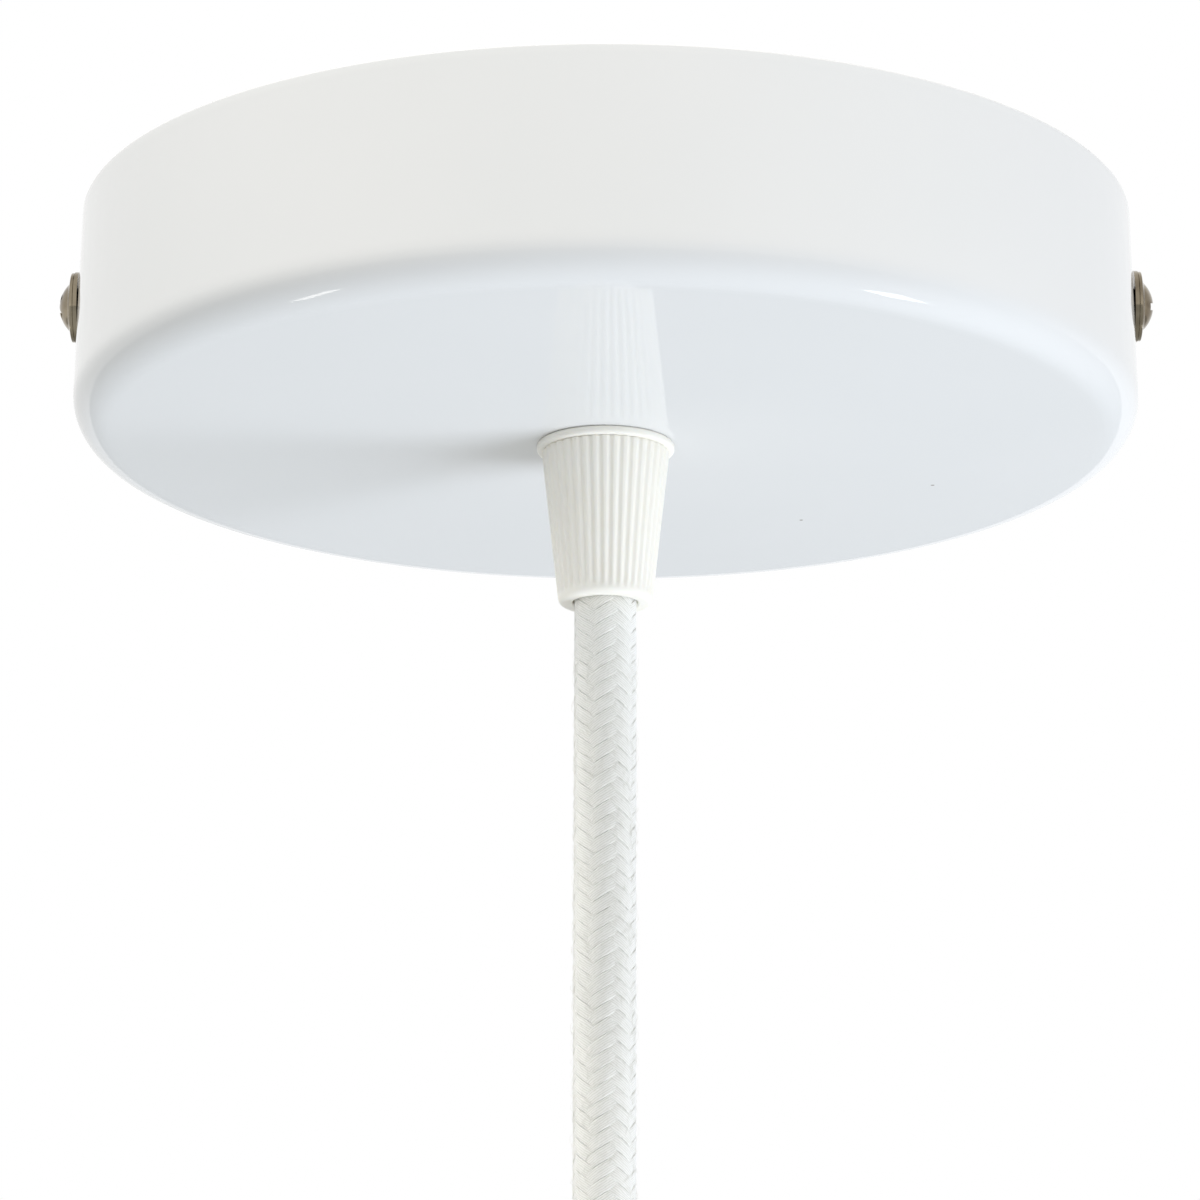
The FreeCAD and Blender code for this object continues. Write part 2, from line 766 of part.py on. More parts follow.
# Share of the shorter run beside a corner that its arc takes up
ARC_SHARE = 0.45
# Largest share by which a lead's volume may differ from its section times its length
VOLUME_SLACK = 0.01


def rounded_path(points):
    """Straight runs joined by tangent arcs, each as large as its two runs allow, and the arcs' radii."""
    edges, radii, start = [], [], points[0]
    for before, corner, after in zip(points, points[1:], points[2:]):
        back, ahead = before - corner, after - corner
        half_turn = (math.pi - back.getAngle(ahead)) / 2
        setback = ARC_SHARE * min(back.Length, ahead.Length)
        radii.append(setback / math.tan(half_turn))
        leave = corner + Vector(back).normalize() * setback
        join = corner + Vector(ahead).normalize() * setback
        inward = (Vector(back).normalize() + Vector(ahead).normalize()).normalize()
        middle = corner + inward * radii[-1] * (1 / math.cos(half_turn) - 1)
        edges += [Part.LineSegment(start, leave).toShape(), Part.Arc(leave, middle, join).toShape()]
        start = join
    edges.append(Part.LineSegment(start, points[-1]).toShape())
    return Part.Wire(edges), radii


def wire_tube(label, points, diameter):
    """A round lead along a rounded path, with its radii printed and its volume compared."""
    path, radii = rounded_path(points)
    section = Part.Wire(Part.makeCircle(diameter / 2, points[0], points[1] - points[0]))
    tube = path.makePipeShell([section], True, False)
    expected = math.pi * diameter**2 / 4 * path.Length
    if abs(tube.Volume - expected) > VOLUME_SLACK * expected:
        raise RuntimeError(f"{label} has the wrong volume")
    print(label, "radii", [round(radius, 1) for radius in radii], "length", round(path.Length, 1))
    lead = doc.addObject("Part::Feature", label)
    lead.Label = label
    lead.Shape = tube
    return lead


def core_spot(turn, height):
    """A point on the circle of cores inside the cable."""
    reach = size("core_circle")
    angle = math.radians(turn)
    return Vector(reach * math.cos(angle), reach * math.sin(angle), height)


# Where each core lies in the cable, in degrees round its axis
CORE_TURNS = {"live": 60, "neutral": -60, "earth": 180}
# Shares of the way to the terminal block at which a core has bent over and has swung out
RISE_SHARE, SWING_SHARE = 0.65, 0.3
# Shares of a tail's length between which it spreads
SPREAD_FROM, SPREAD_TO = 0.3, 0.7


def cores():
    """The three cores from the top of the cable to the terminal block and the ring terminal."""
    top, core = size(CABLE_TOP), size("core_diameter")
    pole_height, pole, entry = size(POLE_HEIGHT), size("pole_pitch / 2"), size(TUBE_START)
    rise = top + RISE_SHARE * (pole_height - top)
    made = []
    for name, side in (("live", 1), ("neutral", -1)):
        start = core_spot(CORE_TURNS[name], top)
        made.append(wire_tube(f"core_{name}", [
            start,
            Vector(start.x, start.y, rise),
            Vector(start.x + SWING_SHARE * (entry - start.x), side * pole, pole_height),
            Vector(entry, side * pole, pole_height),
        ], core))
    start = core_spot(CORE_TURNS["earth"], top)
    sleeve = size(SLEEVE_HEIGHT)
    made.append(wire_tube("core_earth", [
        start,
        Vector(start.x, start.y, sleeve),
        Vector(size("sleeve_start + sleeve_length / 2 - earth_place"), 0, sleeve),
    ], core))
    return made


def core_conductors():
    """The bare copper of the live and neutral cores, inside the brass tubes."""
    rods = []
    for number, pole in enumerate(POLES, start=1):
        at = (TUBE_START, pole, POLE_HEIGHT)
        radius = "conductor_diameter / 2"
        rods.append(cylinder(f"conductor_{number}", radius, "conductor_length", at, ALONG_X))
    return group("core_conductors", rods)


def cable():
    """The round cable, straight down from the top of the stem."""
    return cylinder("cable", "cable_diameter / 2", "cable_length", ("0", "0", CABLE_END))


def tail_sleeve():
    """The shrink sleeve round the free end of the cable."""
    inner = "cable_diameter / 2 + shrink_clearance"
    top = f"{CABLE_END} + shrink_length"
    return turned_ring("tail_sleeve", inner, "shrink_diameter / 2", CABLE_END, top)


def tails():
    """The core ends below the cable, spread a little, and the ferrules on them."""
    top, length, core = size(CABLE_END), size("tail_length"), size("core_diameter")
    ferrules, made = [], []
    for name, turn in CORE_TURNS.items():
        start = core_spot(turn, top)
        outward = Vector(start.x, start.y, 0).normalize()
        spread = start + outward * size("tail_spread")
        end = Vector(spread.x, spread.y, top - length)
        made.append(wire_tube(f"tail_{name}", [
            start,
            Vector(start.x, start.y, top - SPREAD_FROM * length),
            Vector(spread.x, spread.y, top - SPREAD_TO * length),
            end,
        ], core))
        below = (f"{end.x}", f"{end.y}", f"{CABLE_END} - tail_length - ferrule_length")
        ferrules.append(cylinder(f"ferrule_{name}", "ferrule_diameter / 2", "ferrule_length", below))
    return made + [group("tail_ferrules", ferrules)]


pieces = [
    canopy_cup(),
    ceiling_bracket(),
    side_screw("side_screw_right", Rotation(), 20),
    side_screw("side_screw_left", TURNED_ROUND, 35),
    side_washer("side_washer_right", Rotation()),
    side_washer("side_washer_left", TURNED_ROUND),
    grip_collar(),
    grip_cap(),
    grip_stem(),
    grip_washer(),
    grip_nut(),
    terminal_block(),
    terminal_tubes(),
    terminal_screws(),
    block_screw(),
    earth_screw(),
    earth_washer(),
    earth_ring(),
    *cores(),
    core_conductors(),
    cable(),
    tail_sleeve(),
    *tails(),
]
doc.recompute()

for item in doc.Objects:
    if "Invalid" in item.State or "Error" in item.State:
        raise RuntimeError(f"{item.Label} failed: {item.State}")
for piece in pieces:
    if piece.Shape.isNull() or not piece.Shape.isValid() or not piece.Shape.Solids:
        raise RuntimeError(f"{piece.Label} has no valid solid")

os.makedirs("parts", exist_ok=True)
for piece in pieces:
    piece.Shape.exportStep(f"parts/{piece.Label}.step")
    print(piece.Label, len(piece.Shape.Solids), "solids", round(piece.Shape.Volume, 1), "mm3")
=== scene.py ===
# %% [markdown]
# # A ceiling rose for a pendant lamp
# A white enamelled cup hangs under the ceiling, two small screws hold it from the sides, and a
# fluted cord grip in its middle lets a braided cable out. The solid model gives every size and
# place. This lesson adds what a solid model leaves out: the weave of the cable, smooth
# reflections, finishes and light. Sizes are in millimetres and become metres where a mesh is made.

# %% Load the frame
import json
import math

import bpy
import numpy as np
from mathutils import Matrix, Vector


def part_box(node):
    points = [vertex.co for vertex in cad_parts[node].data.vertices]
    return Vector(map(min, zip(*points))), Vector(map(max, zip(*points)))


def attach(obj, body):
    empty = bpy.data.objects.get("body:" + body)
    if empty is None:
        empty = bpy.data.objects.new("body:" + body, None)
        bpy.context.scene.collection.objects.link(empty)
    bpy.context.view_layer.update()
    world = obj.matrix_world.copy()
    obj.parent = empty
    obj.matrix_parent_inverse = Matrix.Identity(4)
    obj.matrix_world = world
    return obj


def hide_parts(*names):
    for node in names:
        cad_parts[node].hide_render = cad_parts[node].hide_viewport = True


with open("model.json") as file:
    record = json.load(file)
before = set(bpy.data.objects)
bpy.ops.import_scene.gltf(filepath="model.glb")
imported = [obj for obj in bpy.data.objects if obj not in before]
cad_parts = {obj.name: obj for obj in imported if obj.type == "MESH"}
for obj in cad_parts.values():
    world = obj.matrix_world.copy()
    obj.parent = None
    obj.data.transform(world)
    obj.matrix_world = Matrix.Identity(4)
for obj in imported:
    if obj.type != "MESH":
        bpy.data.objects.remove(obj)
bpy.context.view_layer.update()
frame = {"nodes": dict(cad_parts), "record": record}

MM = 0.001
NODES = frame["nodes"]

# %% [markdown]
# ## The camera
# The picture was taken from a little below the cup with a long lens, so the round rim is a flat
# ellipse. A camera could be placed by eye, but here its distance, height and lens were worked out
# from the ellipses of the rim and the bottom, and the values are written as a place and angles.

# %% Camera
PICTURE_PIXELS = 1200
FOCAL_PIXELS = 5574
SENSOR_WIDTH = 36
CAMERA_PLACE = (5.63, -601.2, -208.7)
CAMERA_RISE, CAMERA_HEADING, CAMERA_ROLL = 15.35, 0.594, 0.114

camera_data = bpy.data.cameras.new("photo_camera")
camera_data.sensor_width = SENSOR_WIDTH
camera_data.lens = FOCAL_PIXELS / PICTURE_PIXELS * SENSOR_WIDTH
camera = bpy.data.objects.new("photo_camera", camera_data)
camera.matrix_world = (
    Matrix.Translation(Vector(CAMERA_PLACE) * MM)
    @ Matrix.Rotation(math.radians(CAMERA_HEADING), 4, "Z")
    @ Matrix.Rotation(math.radians(90 + CAMERA_RISE), 4, "X")
    @ Matrix.Rotation(math.radians(CAMERA_ROLL), 4, "Z")
)
bpy.context.scene.collection.objects.link(camera)
bpy.context.scene.camera = camera
print("lens:", round(camera_data.lens, 1), "mm")

# %% [markdown]
# ## Surfaces from arrays
# Every new piece is a grid of points: one direction runs along a profile, the other goes round an
# axis or along a strand. Modelling by hand in the viewport would work too, but an array keeps the
# formula in sight and a change of size needs one number. Two neighbours in each direction make a
# four-sided face. If the volume that the faces enclose comes out negative, they point inwards and
# are turned round.

# %% Grids
def grid_faces(rows, columns, close_rows=False):
    """Faces between point (i, j) and its neighbours, where (i, j) has number i * columns + j.

    The columns always close into a ring; the rows do when close_rows is set.
    """
    i, j = np.mgrid[0:rows if close_rows else rows - 1, 0:columns]
    lower, beside = (i + 1) % rows, (j + 1) % columns
    corners = (i * columns + j, i * columns + beside, lower * columns + beside, lower * columns + j)
    return np.stack(corners, axis=-1).reshape(-1, 4)


def facing_out(points, faces):
    """The faces, turned round if the volume that they enclose is negative.

    The volume is the sum of (a x b) . c / 6 over the two triangles of each face.
    """
    a, b, c, d = (points[faces[:, k]] for k in range(4))
    volume = (np.cross(a, b) * c).sum() / 6 + (np.cross(a, c) * d).sum() / 6
    return faces[:, ::-1] if volume < 0 else faces


def turned_grid(profile, count):
    """A profile (radius, height) turned about Z: (r cos a, r sin a, z) for count angles a."""
    angle = np.arange(count) * 2 * np.pi / count
    radius, height = profile[:, :1], profile[:, 1:]
    return np.stack([radius * np.cos(angle), radius * np.sin(angle), height + 0 * angle], axis=-1)


# %% Meshes
def surface_piece(name, points, faces, caps=(), sharp=35):
    """A mesh object from points in millimetres, faces and flat end caps.

    It is shaded smooth, apart from edges at which the faces turn by more than sharp degrees.
    """
    mesh = bpy.data.meshes.new(name)
    mesh.from_pydata((points * MM).tolist(), [], faces.tolist() + [list(cap) for cap in caps])
    mesh.shade_smooth()
    mesh.set_sharp_from_angle(angle=math.radians(sharp))
    mesh.update()
    piece = bpy.data.objects.new(name, mesh)
    bpy.context.scene.collection.objects.link(piece)
    print(name, "-", len(points), "points,", sum(len(f.vertices) - 2 for f in mesh.polygons), "triangles")
    return piece


# %% [markdown]
# ## The cable's route
# The cable hangs straight down, so its route is three points on the axis: its top inside the cup,
# a point below the grip, and its free end. Two heights would describe it too, but a NURBS curve is
# the usual way to draw a cable, and its points are the path that the cable is built along. Core,
# weave and fibres lie round that path in level rings, which suits a cable that hangs.

# %% Cable route
CABLE_ROUTE = ((0, 0, -17), (0, 0, -86.4), (0, 0, -120))
GRIP_MOUTH = (0, 0, -44.15)
ROUTE_STEPS, ROUTE_ORDER = 24, 3


def route_points(name, stops):
    """Points, in millimetres, along a NURBS curve that the route's stops guide from end to end."""
    curve = bpy.data.curves.new(name, "CURVE")
    curve.dimensions = "3D"
    curve.resolution_u = ROUTE_STEPS
    spline = curve.splines.new("NURBS")
    spline.points.add(len(stops) - 1)
    for point, stop in zip(spline.points, stops):
        point.co = (*(Vector(stop) * MM), 1)
    spline.order_u = ROUTE_ORDER
    spline.use_endpoint_u = True
    holder = bpy.data.objects.new(name, curve)
    mesh = bpy.data.meshes.new_from_object(holder)
    found = np.empty(len(mesh.vertices) * 3)
    mesh.vertices.foreach_get("co", found)
    bpy.data.objects.remove(holder)
    bpy.data.meshes.remove(mesh)
    return found.reshape(-1, 3) / MM


def lengths_along(line):
    """The length of the line from its start to each of its points."""
    steps = np.linalg.norm(np.diff(line, axis=0), axis=1)
    return np.concatenate([[0], steps.cumsum()])


def places_on(line, place):
    """The points of the line at the given lengths, on the straight stretches between its points."""
    lengths = lengths_along(line)
    return np.stack([np.interp(place, lengths, line[:, k]) for k in range(3)], axis=-1)


cable_line = route_points("cable_route", CABLE_ROUTE)
print("route:", len(cable_line), "points,", round(lengths_along(cable_line)[-1], 1), "mm")

# %% [markdown]
# ## The woven cover
# The cable's cover is a braid of sixteen flat bundles of white yarn: eight climb to the left and
# eight to the right, and each goes over two and under two of the others. A picture of a weave on
# a tube would look flat at the edge of the cable, so each bundle is a real ribbon here. Its
# height above the core is a wave of the angle round the cable: where one hand is up, the other
# is down, and that gives the upright herringbone columns that a lamp cable shows.

# %% Braid
CARRIERS = 8
WAVES = CARRIERS // 2
BRAID_PITCH, BRAID_TURN = 13.9, 27.75
BRAID_MIDDLE, BRAID_WAVE, WAVE_FLATNESS = 3.28, 0.09, 2
BUNDLE_WIDTH, BUNDLE_THICKNESS, BUNDLE_SQUARENESS = 1.44, 0.22, 0.45
SLACK_PLACES, WIDTH_SLACK, HEIGHT_SLACK = 60, 0.03, 0.02
RIBBON_POINTS, POINTS_PER_WAVE = 12, 10
BRAID_SEED = 7


def braid_arrays(line):
    """Points (strand, along, around, 3) of all ribbons, and their position across and along.

    Strand k of hand h lies at the angle a = k * 45 deg + h * 360 deg * s / pitch after the length s.
    Its middle is at the radius middle + h * wave * tanh(2 cos(4 a - 45 deg)) / tanh(2).
    Its section is a flattened oval: width / 2 * cos q and thickness / 2 * sin q, where cos q and
    sin q keep their signs and are raised to a power under 1. It lies square to the strand on the
    cable. Slack drawn at random makes each strand a little wider or higher here and there. At the
    end all are turned together by BRAID_TURN, which sets where the columns stand.
    """
    random = np.random.default_rng(BRAID_SEED)
    total = lengths_along(line)[-1]
    along = np.linspace(0, total, int(WAVES * total / BRAID_PITCH * POINTS_PER_WAVE))
    hand = np.repeat([1, -1], CARRIERS)[:, None]
    first = np.tile(np.arange(CARRIERS), 2)[:, None] * 2 * np.pi / CARRIERS
    turn = first + hand * 2 * np.pi * along / BRAID_PITCH
    wave = np.tanh(WAVE_FLATNESS * np.cos(WAVES * turn - np.pi / 4)) / np.tanh(WAVE_FLATNESS)
    lift = hand * BRAID_WAVE * wave
    slack = random.normal(0, 1, (2 * CARRIERS, SLACK_PLACES))
    drift = np.stack([np.interp(along, np.linspace(0, total, SLACK_PLACES), row) for row in slack])
    around = np.arange(RIBBON_POINTS) * 2 * np.pi / RIBBON_POINTS
    circle = np.array([np.cos(around), np.sin(around)])
    oval = np.sign(circle) * np.abs(circle) ** BUNDLE_SQUARENESS
    across = BUNDLE_WIDTH / 2 * (1 + WIDTH_SLACK * drift)[..., None] * oval[0]
    outward = BUNDLE_THICKNESS / 2 * oval[1]
    raised = HEIGHT_SLACK * drift[..., None] * (oval[1] > 0)
    lean = math.atan(2 * math.pi * BRAID_MIDDLE / BRAID_PITCH)
    radius = BRAID_MIDDLE + lift[..., None] + raised + outward
    angle = turn[..., None] + across * math.cos(lean) / BRAID_MIDDLE + math.radians(BRAID_TURN)
    place = np.clip(along[:, None] - hand[..., None] * across * math.sin(lean), 0, total)
    ring = np.stack([radius * np.cos(angle), radius * np.sin(angle), 0 * radius], axis=-1)
    return places_on(line, place) + ring, (across + 0 * radius) / BUNDLE_WIDTH + 0.5, place


# %% Ribbons
ribbons, ribbon_across, ribbon_along = braid_arrays(cable_line)
strands, steps = ribbons.shape[:2]
one_ribbon = facing_out(ribbons[0].reshape(-1, 3), grid_faces(steps, RIBBON_POINTS))
ribbon_offsets = np.arange(strands) * steps * RIBBON_POINTS
ribbon_faces = (one_ribbon + ribbon_offsets[:, None, None]).reshape(-1, 4)
ribbon_ends = ribbon_offsets[:, None] + np.arange(RIBBON_POINTS)
ribbon_caps = [*ribbon_ends, *(ribbon_ends[:, ::-1] + (steps - 1) * RIBBON_POINTS)]
print("ribbons:", strands, "with", steps, "steps each")

# %% [markdown]
# ## Loose fibres
# Yarn is spun from short fibres, and some of their loops stand off the cable. Each is finer than
# a hair, yet together they give the cable its soft bright edge. A hair system could grow them; as
# a few thousand three-sided threads in one array they stay plain mesh. They begin below the
# stretch that the cap passes over when it is unscrewed.

# %% Fibres
FIBRES, FIBRE_RADIUS, FIBRE_RINGS, FIBRE_SIDES = 3400, 0.014, 4, 3
FIBRE_START, FIBRE_END = 32.5, 101
FIBRE_SHORTEST, FIBRE_LONGEST = 1, 2.6
FIBRE_SLOPE, SLOPE_SPREAD = 0.75, 0.3
FIBRE_ROOT, LEAST_LIFT, USUAL_LIFT, MOST_LIFT = 3.36, 0.06, 0.11, 0.42
FIBRE_SEED = 11


def fibre_arrays(line):
    """Points (fibre, ring, 3 corners, 3) of loops that leave the braid and come back to it.

    With t from 0 to 1 a loop of length l, laid at the braid's slope, is at the radius
    root + lift * sin(pi t) and turns by l * t * sin(slope) / root while it runs l * t * cos(slope)
    along the cable. Few loops are high: the lift is drawn from an exponential distribution.
    """
    random = np.random.default_rng(FIBRE_SEED)
    each = (FIBRES, 1)
    start = random.uniform(FIBRE_START, FIBRE_END, each)
    room = np.minimum(1, (FIBRE_END - start) / FIBRE_LONGEST)
    size = random.uniform(FIBRE_SHORTEST, FIBRE_LONGEST, each) * room
    slope = random.normal(FIBRE_SLOPE, SLOPE_SPREAD, each) * random.choice([-1, 1], each)
    lift = LEAST_LIFT + np.minimum(random.exponential(USUAL_LIFT, each), MOST_LIFT)
    t = np.linspace(0, 1, FIBRE_RINGS)
    angle = random.uniform(0, 2 * np.pi, each) + size * t * np.sin(slope) / FIBRE_ROOT
    place = start + size * t * np.cos(slope)
    radius = FIBRE_ROOT + lift * np.sin(np.pi * t)
    corner = np.arange(FIBRE_SIDES) * 2 * np.pi / FIBRE_SIDES
    out = radius[..., None] + FIBRE_RADIUS * np.cos(corner)
    turn = angle[..., None] + FIBRE_RADIUS * np.sin(corner) / FIBRE_ROOT
    ring = np.stack([out * np.cos(turn), out * np.sin(turn), 0 * out], axis=-1)
    return places_on(line, place)[..., None, :] + ring, place


fibres, fibre_along = fibre_arrays(cable_line)
one_fibre = facing_out(fibres[0].reshape(-1, 3), grid_faces(FIBRE_RINGS, FIBRE_SIDES))
fibre_offsets = np.arange(FIBRES) * FIBRE_RINGS * FIBRE_SIDES
fibre_faces = (one_fibre + fibre_offsets[:, None, None]).reshape(-1, 4)
fibre_ends = fibre_offsets[:, None] + np.arange(FIBRE_SIDES)
fibre_caps = [*fibre_ends, *(fibre_ends[:, ::-1] + (FIBRE_RINGS - 1) * FIBRE_SIDES)]
print("fibres:", FIBRES)

# %% [markdown]
# ## Cable core and finished cable
# Between the bundles the eye would see through to nothing, so a plain round core fills the braid
# from inside, with a flat cut end at the top and at the bottom. Three objects would do as well, but
# as one mesh the cable is one piece. Its UV map holds the position across and along each bundle,
# and the yarn pattern uses that later.

# %% Cable
CORE_RADIUS, CORE_SIDES = 3.1, 48
core_ring = turned_grid(np.array([[CORE_RADIUS, 0.0]]), CORE_SIDES)
core_points = (cable_line[:, None] + core_ring).reshape(-1, 3)
core_faces = facing_out(core_points, grid_faces(len(cable_line), CORE_SIDES))
core_start = ribbons.size // 3
core_top = np.arange(CORE_SIDES)
core_bottom = len(core_points) - CORE_SIDES + core_top
core_caps = core_start + np.array([core_top[::-1], core_bottom])
fibre_start = core_start + len(core_points)
cable = surface_piece(
    "braided_cable",
    np.concatenate([ribbons.reshape(-1, 3), core_points, fibres.reshape(-1, 3)]),
    np.concatenate([ribbon_faces, core_faces + core_start, fibre_faces + fibre_start]),
    [*ribbon_caps, *core_caps, *(cap + fibre_start for cap in fibre_caps)],
    sharp=60,
)

# %% Yarn map and cord
fibre_across = np.full(FIBRES * FIBRE_RINGS * FIBRE_SIDES, 0.5)
yarn_place = np.concatenate([
    np.stack([ribbon_across.ravel(), ribbon_along.ravel()], axis=-1),
    np.zeros((len(core_points), 2)),
    np.stack([fibre_across, np.repeat(fibre_along.ravel(), FIBRE_SIDES)], axis=-1),
])
loop_points = np.empty(len(cable.data.loops), dtype=np.int32)
cable.data.loops.foreach_get("vertex_index", loop_points)
cable.data.uv_layers.new(name="yarn").data.foreach_set("uv", yarn_place[loop_points].ravel())
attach(cable, "rose")
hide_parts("cable")

# %% [markdown]
# ## Outlines with rounded corners
# The cup was drawn from sheet steel in a press, and the grip's parts were moulded, so all of them
# are turned shapes with rounded edges. A Bevel modifier could round them, but the rounding belongs
# to the profile: an arc is put in at each corner before the profile is turned.

# %% Rounded outline
ARC_STEPS = 9


def rounded_outline(corners, step):
    """A closed outline through corners (radius, height, rounding), straight stretches cut into steps.

    With u and v the unit directions from a corner to its neighbours and w half the angle between
    them, an arc of radius q starts and ends q / tan w from the corner, and its middle lies
    q / sin w from it along u + v. The arc is a spherical blend between its two end directions.
    """
    corners = np.asarray(corners, float)
    spot, rounding = corners[:, :2], corners[:, 2:]
    back, ahead = np.roll(spot, 1, axis=0) - spot, np.roll(spot, -1, axis=0) - spot
    back /= np.linalg.norm(back, axis=1, keepdims=True)
    ahead /= np.linalg.norm(ahead, axis=1, keepdims=True)
    half = np.arccos((back * ahead).sum(axis=1, keepdims=True)) / 2
    inward = (back + ahead) / np.linalg.norm(back + ahead, axis=1, keepdims=True)
    starts, ends = spot + back * rounding / np.tan(half), spot + ahead * rounding / np.tan(half)
    middles = spot + inward * rounding / np.sin(half)
    stretches = []
    for k, middle in enumerate(middles):
        turn = np.pi - 2 * half[k]
        share = np.linspace(0, 1, ARC_STEPS if rounding[k] > 0 else 1)[:, None]
        first, last = starts[k] - middle, ends[k] - middle
        arc = (np.sin((1 - share) * turn) * first + np.sin(share * turn) * last) / np.sin(turn)
        run = starts[(k + 1) % len(spot)] - ends[k]
        count = max(1, round(np.linalg.norm(run) / step))
        stretches += [middle + arc, ends[k] + run * np.arange(1, count)[:, None] / count]
    return np.concatenate(stretches)


# %% [markdown]
# ## The cup
# The cup is the piece that shows: one deep drawn shell with a soft corner. Its mesh is much finer
# than the solid's, because a glossy surface shows every facet. The two side holes are bent into
# the grid: near a hole the square rings of grid points turn step by step into a circle, and the
# faces inside it are left out. A Boolean would cut them too, but it leaves slivers that spoil
# the reflection.

# %% Cup grid
CUP_RADIUS, RIM_INSET, CUP_HEIGHT, CUP_WALL = 60, 0.6, 25.5, 1
CORNER_RADIUS, RIM_ROUND, EDGE_ROUND = 4, 0.3, 0.1
STEM_HOLE = 5.2
CUP_COLUMNS, CUP_STEP = 432, 0.87

cup_outline = rounded_outline([
    (CUP_RADIUS - RIM_INSET, 0, RIM_ROUND),
    (CUP_RADIUS, -CUP_HEIGHT, CORNER_RADIUS),
    (STEM_HOLE, -CUP_HEIGHT, EDGE_ROUND),
    (STEM_HOLE, CUP_WALL - CUP_HEIGHT, EDGE_ROUND),
    (CUP_RADIUS - CUP_WALL, CUP_WALL - CUP_HEIGHT, CORNER_RADIUS - CUP_WALL),
    (CUP_RADIUS - RIM_INSET - CUP_WALL, 0, EDGE_ROUND),
], CUP_STEP)
cup_grid = turned_grid(cup_outline, CUP_COLUMNS)
print("cup grid:", cup_grid.shape[:2])

# %% Round holes in a grid
SCREW_DROP, SCREW_HOLE = 9.2, 2.3
HOLE_RING, PATCH_RING = 3, 6


def bend_round_hole(grid, row, column):
    """Bends the grid round a side hole; gives the points inside the hole and its edge, in order.

    Ring k holds the points whose larger distance from (row, column), counted in grid steps, is k.
    Ring HOLE_RING goes to the circle of the hole, ring PATCH_RING stays, and rings between them
    are blended evenly in Y and Z. X follows from the wall's radius at that height.
    """
    di, dj = np.mgrid[-PATCH_RING:PATCH_RING + 1, -PATCH_RING:PATCH_RING + 1]
    rows, columns = row + di, (column + dj) % grid.shape[1]
    patch = grid[rows, columns]
    wall = np.hypot(patch[:, 0, 0], patch[:, 0, 1])
    heights = patch[:, 0, 2]
    ring = np.maximum(abs(di), abs(dj))
    upward = np.sign(heights[-1] - heights[0])
    sideward = np.sign(patch[0, -1, 1] - patch[0, 0, 1])
    way = np.arctan2(di * upward, dj * sideward)
    share = np.clip((ring - HOLE_RING) / (PATCH_RING - HOLE_RING), 0, 1)
    y = (1 - share) * SCREW_HOLE * np.cos(way) + share * patch[..., 1]
    z = (1 - share) * (SCREW_HOLE * np.sin(way) - SCREW_DROP) + share * patch[..., 2]
    order = np.argsort(heights)
    x = np.sign(patch[..., 0]) * np.sqrt(np.interp(z, heights[order], wall[order]) ** 2 - y**2)
    grid[rows, columns] = np.stack([x, y, z], axis=-1)
    numbers = rows * grid.shape[1] + columns
    edge = ring == HOLE_RING
    return numbers[ring < HOLE_RING], numbers[edge][np.argsort(way[edge])]


# %% [markdown]
# ## Holes through the wall
# A hole has an edge on the outside of the wall and one on the inside. Both have the same number
# of points in the same order, so a ring of faces between them closes the sheet metal's thickness.
# A Solidify modifier could give the wall its thickness, but both sides are in the grid already.

# %% Cup
wall_middle = CUP_RADIUS - RIM_INSET - CUP_WALL / 2
outside = cup_outline[:, 0] > wall_middle
on_bottom = cup_outline[:, 0] < CUP_RADIUS - 2 * CUP_WALL
from_screw = np.abs(cup_outline[:, 1] + SCREW_DROP)
outer_row = int(np.argmin(np.where(outside, from_screw, np.inf)))
inner_row = int(np.argmin(np.where(outside | on_bottom, np.inf, from_screw)))
cup_faces = grid_faces(*cup_grid.shape[:2], close_rows=True)
inside, edges = [], []
for column in (0, CUP_COLUMNS // 2):
    for row in (outer_row, inner_row):
        dropped, edge = bend_round_hole(cup_grid, row, column)
        inside.append(dropped)
        edges.append(edge)
cup_points = cup_grid.reshape(-1, 3)
cup_faces = facing_out(cup_points, cup_faces)
cup_faces = cup_faces[~np.isin(cup_faces, np.concatenate(inside)).any(axis=1)]
for outer, inner in (edges[:2], edges[2:]):
    sleeve = np.stack([outer, np.roll(outer, -1), np.roll(inner, -1), inner], axis=-1)
    a, b, c = (cup_points[sleeve[0, k]] for k in (0, 1, 2))
    facing = np.cross(b - a, c - a)
    toward_axis = np.array([0, 0, -SCREW_DROP]) - a
    if (facing * toward_axis)[1:].sum() <= 0:
        sleeve = sleeve[:, ::-1]
    cup_faces = np.concatenate([cup_faces, sleeve])
used, cup_faces = np.unique(cup_faces, return_inverse=True)
cup = surface_piece("enamelled_cup", cup_points[used], cup_faces.reshape(-1, 4), sharp=40)
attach(cup, "rose")
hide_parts("canopy_cup")

# %% [markdown]
# ## The collar
# A low nylon ring with rounded edges lies between the fluted cap and the cup, and keeps the cap
# from scratching the enamel. A torus would be too round, so it is a turned outline like the cup.

